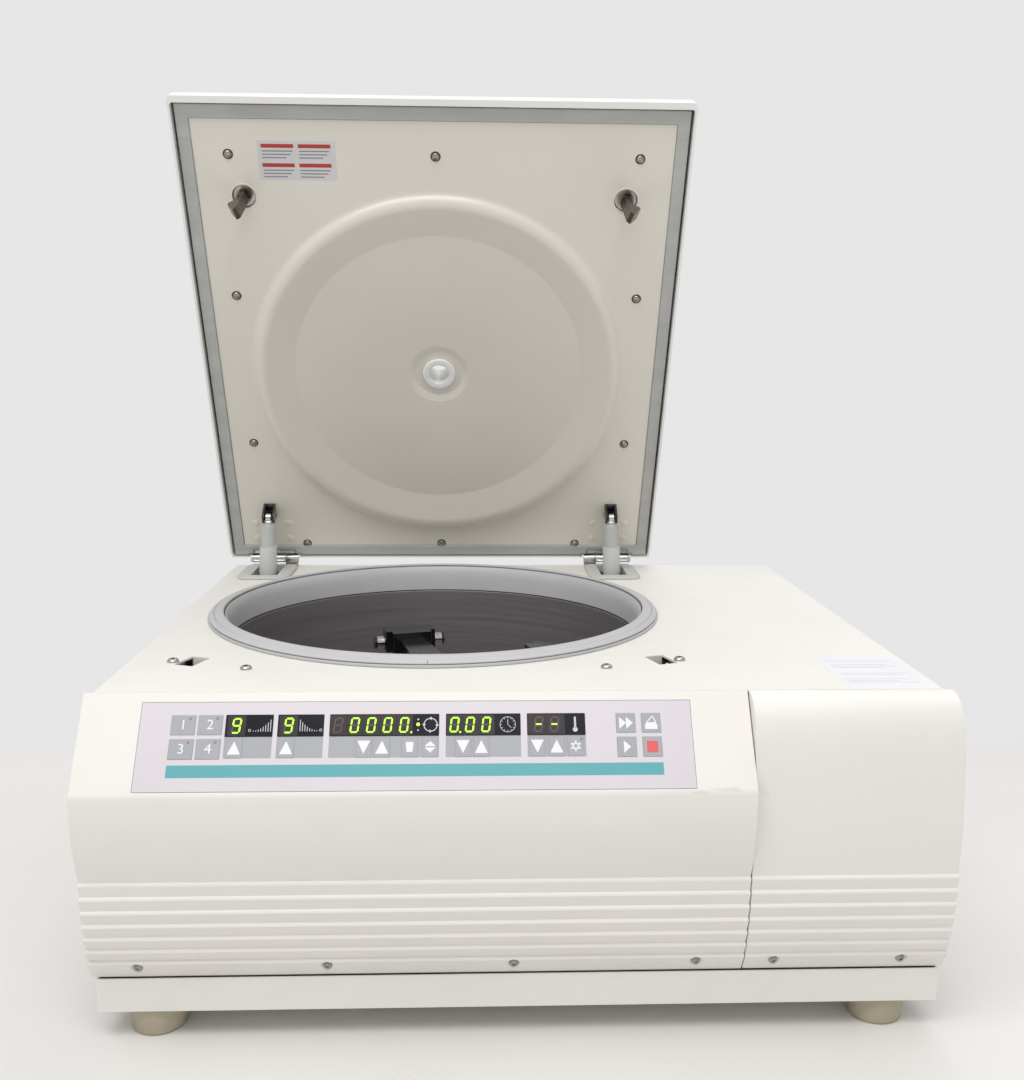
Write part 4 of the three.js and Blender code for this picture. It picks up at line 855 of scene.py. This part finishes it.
# %% Seven segments
DIGIT_TALL, DIGIT_WIDE, STROKE, LEAN = 13.2, 7.4, 1.35, math.tan(math.radians(7))
LIT_SEGMENTS = {"0": "abcdef", "9": "abcdfg", "-": "g", " ": ""}


def segment_outline(x0, y0, x1, y1):
    """A six-cornered bar between two points."""
    long = math.hypot(x1 - x0, y1 - y0)
    ax, ay = (x1 - x0) / long, (y1 - y0) / long
    half = STROKE / 2
    gap = 0.28
    ends = [(gap, 0), (gap + half, half), (long - gap - half, half), (long - gap, 0),
            (long - gap - half, -half), (gap + half, -half)]
    return [(x0 + ax * d - ay * s, y0 + ay * d + ax * s) for d, s in ends]


def digit_segments():
    w, h = (DIGIT_WIDE - STROKE) / 2, (DIGIT_TALL - STROKE) / 2
    ends = {"a": (-w, h, w, h), "b": (w, h, w, 0), "c": (w, 0, w, -h), "d": (-w, -h, w, -h),
            "e": (-w, 0, -w, -h), "f": (-w, h, -w, 0), "g": (-w, 0, w, 0)}
    return {key: [(x + y * LEAN, y) for x, y in segment_outline(*line)] for key, line in ends.items()}


SEGMENTS = digit_segments()


def show_digit(x, y, text):
    """The outlines of the lit and the unlit segments of one digit."""
    lit, unlit = [], []
    for key, outline in SEGMENTS.items():
        moved = [(x + a, y + b) for a, b in outline]
        (lit if key in LIT_SEGMENTS[text] else unlit).append(moved)
    return lit, unlit


# %% Icons beside the digits
def ramp_icon(x, y, rising):
    way = 1 if rising else -1
    bars = []
    for i in range(8):
        tall = 0.8 + 9.2 * (i / 7) ** 1.9
        at = x + way * (i * 2.0 - 5.2)
        bars.append(rectangle(at - 0.32, at + 0.32, y - 5.0, y - 5.0 + tall))
    ring_x = x - way * 8.4
    return bars + [ring_outline(ring_x, y - 4.0, 1.2, 0.75, 0, 180, 8),
                   ring_outline(ring_x, y - 4.0, 1.2, 0.75, 180, 360, 8)]


def turning_icon(x, y):
    arcs = [ring_outline(x, y, 5.9, 5.1, start, start + 72, 8) for start in (10, 100, 190, 280)]
    heads = []
    for angle in (0, 90, 180, 270):
        t = math.radians(angle)
        px, py = x + 5.5 * math.cos(t), y + 5.5 * math.sin(t)
        along = (-math.sin(t), math.cos(t))
        out = (math.cos(t), math.sin(t))
        heads.append([(px + along[0] * 1.6, py + along[1] * 1.6),
                      (px - along[0] * 0.8 + out[0] * 1.5, py - along[1] * 0.8 + out[1] * 1.5),
                      (px - along[0] * 0.8 - out[0] * 1.5, py - along[1] * 0.8 - out[1] * 1.5)])
    return arcs + heads


def clock_icon(x, y):
    rim = [ring_outline(x, y, 6.7, 6.25, start, start + 90, 12) for start in (0, 90, 180, 270)]
    ticks = [[(x + math.cos(t) * r - math.sin(t) * s, y + math.sin(t) * r + math.cos(t) * s)
              for r, s in ((5.0, -0.22), (6.3, -0.22), (6.3, 0.22), (5.0, 0.22))]
             for t in (math.radians(30 * i) for i in range(12))]
    hands = [rectangle(x - 0.28, x + 0.28, y - 0.4, y + 4.2), [(x, y + 0.3), (x + 3.0, y - 2.6),
             (x + 2.7, y - 3.0), (x - 0.3, y - 0.1)]]
    return rim + ticks + hands


def thermometer_icon(x, y):
    return [rounded(x - 0.85, x + 0.85, y - 3.4, y + 6.4, 0.8, 3), disc(x, y - 4.6, 2.1, 20)]


def lamp_column(x, y):
    return [disc(x, y - step, 0.75, 12) for step in (-4.6, 4.6)]


# %% Fill the displays
WINDOW_TOP, WINDOW_FOOT = 19.6, 38.4
ROW = -(WINDOW_TOP + WINDOW_FOOT) / 2
READINGS = {
    "acceleration": ([(-240.0, "9")], (-247.6, -232.2), ramp_icon(-220.6, ROW, True)),
    "braking": ([(-196.9, "9")], (-204.6, -189.2), ramp_icon(-178.6, ROW, False)),
    "speed": ([(-155.8, " "), (-142.1, "0"), (-128.4, "0"), (-114.7, "0"), (-101.0, "0")],
              (-162.4, -93.8), turning_icon(-79.0, ROW) + lamp_column(-89.4, ROW)),
    "time": ([(-59.0, "0"), (-46.0, "0"), (-32.4, "0")], (-65.6, -25.4), clock_icon(-14.4, ROW)),
    "temperature": ([(11.6, "-"), (24.8, "-")], (2.4, 33.6), thermometer_icon(42.2, ROW)),
}
POINTS = [(-54.2, ROW - 6.3), (-94.9, ROW - 6.3)]
GLASS, CELL_TOP, SEGMENT_TOP = 0.30, 0.34, 0.40
for name, (digits, cell, icon) in READINGS.items():
    x0, x1 = DISPLAYS[name]
    outline = rounded(x0, x1, -WINDOW_FOOT, -WINDOW_TOP, 0.6, 2)
    window = soften(plate(f"display_{name}", outline, 0.01, GLASS), 0.12, 1)
    lay(window, CONTROL, "root", WINDOW)
    pitch = (cell[1] - cell[0]) / len(digits)
    cells = [rectangle(cell[0] + i * pitch + 0.15, cell[0] + (i + 1) * pitch - 0.15,
                       -WINDOW_FOOT + 0.9, -WINDOW_TOP - 0.9) for i in range(len(digits))]
    shades = symbol(f"cells_{name}", cells, CELL, GLASS - 0.02, CELL_TOP - GLASS)
    lay(shades, CONTROL, "root")
    lit, unlit = [], []
    for x, text in digits:
        for shown, found in zip((lit, unlit), show_digit(x, ROW, text)):
            shown.extend(found)
    if unlit:
        lay(symbol(f"unlit_{name}", unlit, GHOST, CELL_TOP - 0.03, 0.04), CONTROL, "root")
    lay(symbol(f"lit_{name}", lit, LIT, CELL_TOP - 0.03, SEGMENT_TOP - CELL_TOP), CONTROL, "root")
    lay(symbol(f"icon_{name}", icon, ICON, GLASS - 0.02, 0.07), CONTROL, "root")
dots = [disc(x, y, 0.8, 14) for x, y in POINTS] + [disc(-89.4, ROW + 0.4, 1.5, 18)]
lay(symbol("decimal_points", dots, LIT, CELL_TOP - 0.03, 0.07), CONTROL, "root")
print(len(READINGS), "displays filled")


# %% [markdown]
# ## Lid
# The lid is a thick moulded shell with a pressed inner panel. The panel's face is one turned pressing: a
# shallow dish for the port, a flat disc, a slanted wall and a rounded bead. Its last ring is moved out to
# the panel's rectangle, so that the flat field and the pressing are one sheet, as on the real lid.

# %% Shell and frame seal
refined("lid_shell", LID_SKIN, 1.1, 3)
refined("lid_edge_seal", SEAL_RUBBER, 1.7, 4)

# %% Inner panel
PORT_V = 275.0
PANEL = {"half": 265.2, "near": 20.6, "far": 580.8}
SHEET, FIELD_R, FAR_R = 1.8, 231.0, 300.0
face = ([(18.4, 9.0), (27.5, 9.0)] + arc(29.0, 7.4, 1.6, 90, 60, 2) + [(35.4, 6.5)]
        + arc(37.5, 7.6, 1.6, 225, 270, 3) + [(175.0, 6.0), (176.4, 5.8), (178.0, 5.3)]
        + [(206.0, -3.0), (208.6, -3.9), (211.0, -4.5), (214.0, -4.8), (217.0, -4.6), (219.6, -3.9)]
        + [(221.8, -2.6), (223.4, -0.9), (224.6, 0.6), (226.0, 1.6), (228.0, 2.0), (FIELD_R, 2.0)])
back = [(r, w + SHEET) for r, w in reversed(face)]
inner_panel = turned("inner_panel", face + [(FAR_R, 2.0), (FAR_R, 2.0 + SHEET)] + back, FINE)


def field_corner(x, y):
    """Carries a point of the outer ring along its own ray to the edge of the panel."""
    reach = [PANEL["half"] / abs(x) if abs(x) > 1e-9 else 1e9]
    edge = PANEL["far"] - PORT_V if y < 0 else PORT_V - PANEL["near"]
    reach.append(edge / abs(y) if abs(y) > 1e-9 else 1e9)
    return x * min(reach), y * min(reach)


outer_ring = [c for c in inner_panel.data.vertices if math.hypot(c.co.x, c.co.y) > (FAR_R - 1) * MM]
for corner in outer_ring:
    x, y = field_corner(corner.co.x / MM, corner.co.y / MM)
    corner.co.x, corner.co.y = x * MM, y * MM
for cx in (-PANEL["half"], PANEL["half"]):
    for cy in (PORT_V - PANEL["near"], PORT_V - PANEL["far"]):
        for level in (2.0, 2.0 + SHEET):
            near = min((c for c in outer_ring if abs(c.co.z - level * MM) < 1e-5),
                       key=lambda c: math.hypot(c.co.x - cx * MM, c.co.y - cy * MM))
            near.co.x, near.co.y = cx * MM, cy * MM
HOOK_AT = [(-215.0, 496.0), (215.0, 496.0)]
hole_places = [Matrix.Translation((u * MM, (PORT_V - v) * MM, 0)) for u, v in HOOK_AT]
drill(inner_panel, 13.2, hole_places, -2, 8, 48)
smooth(inner_panel, 30)
lay(inner_panel, LID @ Matrix.Translation((0, -PORT_V * MM, 0)), "lid", PANEL_PAINT)
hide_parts("lid_inner_panel")
print("inner panel", len(inner_panel.data.polygons), "faces")

# %% Port, hook wells and embossed rivets
bush_outline = ([(12.3, 5.4)] + arc(13.3, 6.2, 1.0, 180, 270, 3)[1:] + arc(18.4, 6.8, 1.6, 270, 360, 4)
                + [(20, 8.6), (17.9, 8.6), (17.9, 43.4), (12.3, 43.4)])
bush = smooth(turned("port_bush_moulded", bush_outline, 64), 40)
lay(bush, LID @ Matrix.Translation((0, -PORT_V * MM, 0)), "lid", WHITE_PLASTIC)
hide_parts("port_bush")
well = wear(smooth(turned("hook_well", [(13.15, 5.9), (13.15, 1.9), (13.5, 1.55), (14.4, 1.6), (15.0, 1.95),
                                        (15.0, 2.4), (13.4, 5.9)], 48), 45), PANEL_PAINT)
hook_places = [LID @ Matrix.Translation((u * MM, -v * MM, 0)) for u, v in HOOK_AT]
lay_copies(well, hook_places, "lid")
dome = [(POLE, 0.95), (2.2, 0.88), (3.6, 0.62), (4.6, 0.22), (5.3, 0.0), (5.3, -0.3), (POLE, -0.3)]
rivet = wear(smooth(turned("rivet", dome, 32), 50), PANEL_PAINT)
rivet_places = [on_lid(side * u, v) for side in (-1, 1) for u in (203.5, 246.5) for v in (32, 56)]
lay_copies(rivet, rivet_places, "lid")

# %% Lid label
LABEL = rectangle(-195, -109.5, 515, 558)
lay(plate("lid_label", LABEL, 0.0, 0.12), on_lid(0, 0), "lid", LABEL_PAPER)
headers, lines = [], []
for x0, x1 in ((-191, -155.5), (-150.5, -115)):
    for top in (554.5, 533.5):
        headers.append(rectangle(x0, x1, top - 4.2, top))
        for row in range(3):
            end = x1 - (1.5, 4.0, 8.5)[row]
            lines.append(rectangle(x0 + 0.8, end, top - 8.3 - 3.6 * row, top - 7.0 - 3.6 * row))
lay(symbol("lid_label_bars", headers, LABEL_RED, 0.11, 0.05), on_lid(0, 0), "lid")
lay(symbol("lid_label_lines", lines, GREY_INK, 0.11, 0.04), on_lid(0, 0), "lid")

# %% Hooks and forks
DISC_R, DISC_W = 12.6, 6.1  # radius and outer face of the bright disc under each hook
hook_disc = turned("hook_disc", [(POLE, DISC_W - 0.3), (DISC_R - 0.4, DISC_W - 0.3), (DISC_R, DISC_W),
                                 (POLE, DISC_W)], 48)
lay_copies(wear(smooth(hook_disc), SILVER), hook_places, "lid")
for side in ("left", "right"):
    refined(f"latch_hook_{side}", HOOK_STEEL, 0.7, 3)
    refined(f"spring_fork_{side}", FORK_BLACK, 0.8, 3)
    refined(f"lock_catch_{side}", ZINC, 0.4, 1)

# %% [markdown]
# ## Hinges and gas springs
# Each hinge is a plated barrel in two parts on one pin. Each gas spring has a painted tube, a plastic
# sleeve with a slanting mouth over its lower part, and a bright rod. The sleeve is a turned tube that is
# cut by a tilted plane.

# %% Hinges
SIDES = (("left", -1), ("right", 1))
HINGE_OFFSET, HINGE_HALF = 226.0, 32.5
BARREL = [(POLE, 0.0), (2.6, 0.0), (2.9, 0.5), (4.9, 0.5), (5.6, 1.2), (5.65, 2.0), (5.65, 46.2),
          (5.3, 46.8), (POLE, 46.8)]
for name, side in SIDES:
    refined(f"hinge_{name}", BRIGHT_STEEL, 0.45, 2)
    barrel = smooth(turned(f"hinge_barrel_{name}", BARREL, 40), 40)
    outer = LID_X + side * (HINGE_OFFSET + HINGE_HALF)
    place = (Matrix.Translation((outer * MM, HINGE_Y * MM, HINGE_Z * MM))
             @ Matrix.Rotation(math.radians(-90 * side), 4, "Y"))
    lay(barrel, place, "lid", BRIGHT_STEEL)
    x = side * HINGE_OFFSET
    leaf = soften(plate(f"hinge_leaf_{name}", rectangle(x - 27.4, x + 27.4, 7.4, 13.3), -2.4, -1.0), 0.3, 2)
    lay(leaf, on_lid(0, 0, 0), "lid", ZINC)
    refined(f"spring_bezel_{name}", GREY_PLASTIC, 0.9, 3)

# %% Gas springs
PIVOT_Y, PIVOT_Z, SPRING_TILT = 270.009, 376.194, math.radians(-11.49)
TUBE = [(POLE, -9.0), (7.2, -9.1), (8.8, -10.0), (9.6, -11.6), (9.8, -13.2), (9.8, -60.0), (4.4, -60.0),
        (4.4, -24.0), (POLE, -24.0)]
SLEEVE = [(11.3, -26.0), (11.3, -136.0), (10.6, -137.6), (9.4, -138.0), (4.4, -138.0), (4.4, -136.0),
          (9.85, -134.0), (9.85, -26.0)]
EYE = [(3.4, -3.6), (5.9, -3.6), (6.4, -3.1), (6.4, 3.1), (5.9, 3.6), (3.4, 3.6)]
for name, side in SIDES:
    body = f"gas_cylinder_{name}"
    spring = (Matrix.Translation(((LID_X + side * HINGE_OFFSET) * MM, PIVOT_Y * MM, PIVOT_Z * MM))
              @ Matrix.Rotation(SPRING_TILT, 4, "X"))
    tube = lay(smooth(turned(f"spring_tube_{name}", TUBE, 48), 40), spring, body,
               SPRING_PAINT)
    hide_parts(body)
    eye = smooth(turned(f"spring_eye_{name}", EYE, 40), 40)
    lay(eye, spring @ along_x, body, BRIGHT_STEEL)
    tongue = plate(f"spring_tongue_{name}", rectangle(-3.4, 3.4, -4.6, 4.6), -11.0, -5.2)
    lay(soften(tongue, 0.6, 2), spring, body, BRIGHT_STEEL)
    shell = turned(f"spring_sleeve_{name}", SLEEVE, 64)
    open_mesh(shell)
    bpy.ops.mesh.bisect(plane_co=(0, 0, -37 * MM), plane_no=(-0.10, -0.30, 1.0), use_fill=True,
                        clear_outer=True)
    close_mesh()
    lay(smooth(shell, 40), spring, body, GREY_PLASTIC)
    refined(f"gas_rod_{name}", BRIGHT_STEEL)
print("hinges and springs done")

# %% [markdown]
# ## Feet, sleeves, stickers and the back
# The feet are tapered rubber pucks, turned with a soft edge. The hook slots are lined with short white
# walls, so that they don't look like black holes. The side where the catch comes in stays open.
# The inlet, the switch and the fan keep their shapes and get softer edges.

# %% Feet
FOOT_AT = {"front_left": (-321, -267), "front_right": (321, -267), "rear_left": (-321, 285),
           "rear_right": (321, 285)}
FOOT = [(POLE, 0.0), (21.5, 0.0), (23.2, 0.5), (24.0, 1.8), (26.3, 23.6), (26.0, 24.8), (25.0, 25.6),
        (POLE, 25.6)]
for name, (x, y) in FOOT_AT.items():
    foot = smooth(turned(f"rubber_foot_{name}", FOOT, 72), 50)
    lay(foot, Matrix.Translation((x * MM, y * MM, 0)), "root", FOOT_RUBBER)
    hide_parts(f"foot_{name}")

# %% Sticker and slot walls
sticker = plate("deck_sticker", rectangle(281, 357, -279.5, -174), DECK_Z, DECK_Z + 0.15)
lay(sticker, Matrix.Identity(4), "root", STICKER_PAPER)
BAR_LEFT, BAR_RIGHT, BAR_TALL, SHORTER = 288, 350, 1.3, (0, 9, 3, 16)
bars = [rectangle(BAR_LEFT, BAR_RIGHT - SHORTER[row % 4], y, y + BAR_TALL)
        for row, y in enumerate([-190, -203, -208, -213, -231, -236, -250, -255, -260])]
lay(symbol("deck_sticker_bars", bars, STICKER_INK, DECK_Z + 0.14, 0.04), Matrix.Identity(4), "root")
SLOT_TURN, SLOT_SHIFT = math.radians(20), 3.5
SLOT_X, SLOT_INNER_X = 9.9, 9.0  # outer and inner face of the long wall, from the slot's middle
SLOT_Y, SLOT_INNER_Y = 15.9, 14.8  # the same for the two end walls
END_FOOT, SIDE_FOOT, WALL_TOP = 286, 298, DECK_Z - 0.3
for side, (u, v) in zip((-1, 1), HOOK_AT):
    place = (Matrix.Translation(((LID_X + u) * MM, (HINGE_Y - v) * MM, 0))
             @ Matrix.Rotation(SLOT_TURN * side, 4, "Z") @ Matrix.Translation((side * SLOT_SHIFT * MM, 0, 0)))
    long_wall = rectangle(*sorted((-side * SLOT_X, -side * SLOT_INNER_X)), -SLOT_INNER_Y, SLOT_INNER_Y)
    for outline, low in ((rectangle(-SLOT_X, SLOT_X, SLOT_INNER_Y, SLOT_Y), END_FOOT),
                         (rectangle(-SLOT_X, SLOT_X, -SLOT_Y, -SLOT_INNER_Y), END_FOOT),
                         (long_wall, SIDE_FOOT)):
        lay(plate("slot_sleeve", outline, low, WALL_TOP), place, "root", HOUSING_PAINT)

# %% Back and inner pieces
refined("mains_inlet", BLACK_PLASTIC, 0.6, 2)
refined("power_switch", BLACK_PLASTIC, 0.5, 2)
refined("condenser_fan", BLACK_PLASTIC, 0.5, 1)

# %% [markdown]
# ## Table and light
# The machine stands on a pale bench top in a bright room. The room's light comes from all sides, from
# the world, and two large soft lights above give the direction. The wall that the camera sees is brighter
# than the world that lights the machine, so a mix by the kind of ray keeps the two apart.

# %% Bench top
let_go()
bpy.ops.mesh.primitive_cube_add(size=1, location=(0, 0, 0))
bench = bpy.context.object
bench.name = "bench_top"
BENCH_LOW, BENCH_HIGH = Vector((-3.0, -2.4, -0.04)), Vector((3.0, 0.467, -0.0004))
for corner in bench.data.vertices:
    corner.co = Vector([low if c < 0 else high for c, low, high in zip(corner.co, BENCH_LOW, BENCH_HIGH)])
soften(bench, 1.0, 2)
BENCH_TOP = coated("bench_top", (0.83, 0.82, 0.80), 0.32, 0.015, 3, 600, 0.03)
wear(bench, BENCH_TOP)

# %% Room light
room = bpy.data.worlds.new("room")
bpy.context.scene.world = room
room.use_nodes = True
sky = room.node_tree.nodes["Background"]
sky.inputs["Color"].default_value = (0.86, 0.86, 0.88, 1)
sky.inputs["Strength"].default_value = 0.66
wall = node(room.node_tree, "ShaderNodeBackground")
wall.inputs["Color"].default_value = (0.80, 0.795, 0.80, 1)
seen = node(room.node_tree, "ShaderNodeLightPath")
choice = node(room.node_tree, "ShaderNodeMixShader")
room.node_tree.links.new(seen.outputs["Is Camera Ray"], choice.inputs["Fac"])
room.node_tree.links.new(sky.outputs[0], choice.inputs[1])
room.node_tree.links.new(wall.outputs[0], choice.inputs[2])
room.node_tree.links.new(choice.outputs[0], room.node_tree.nodes["World Output"].inputs["Surface"])


def area_light(name, at, aim, size, power, colour=(1, 1, 1)):
    data = bpy.data.lights.new(name, "AREA")
    data.shape = "RECTANGLE"
    data.size, data.size_y = size
    data.energy = power
    data.color = colour
    lamp = bpy.data.objects.new(name, data)
    lamp.location = at
    lamp.rotation_euler = (Vector(aim) - Vector(at)).to_track_quat("-Z", "Y").to_euler()
    bpy.context.scene.collection.objects.link(lamp)


area_light("ceiling_front", (-0.5, -1.3, 2.6), (0, 0, 0.3), (2.4, 1.2), 40, (1, 0.985, 0.96))
area_light("ceiling_back", (0.6, 0.9, 2.7), (0, 0, 0.3), (2.0, 1.2), 18, (1, 0.99, 0.97))
bpy.context.scene.view_settings.view_transform = "Standard"
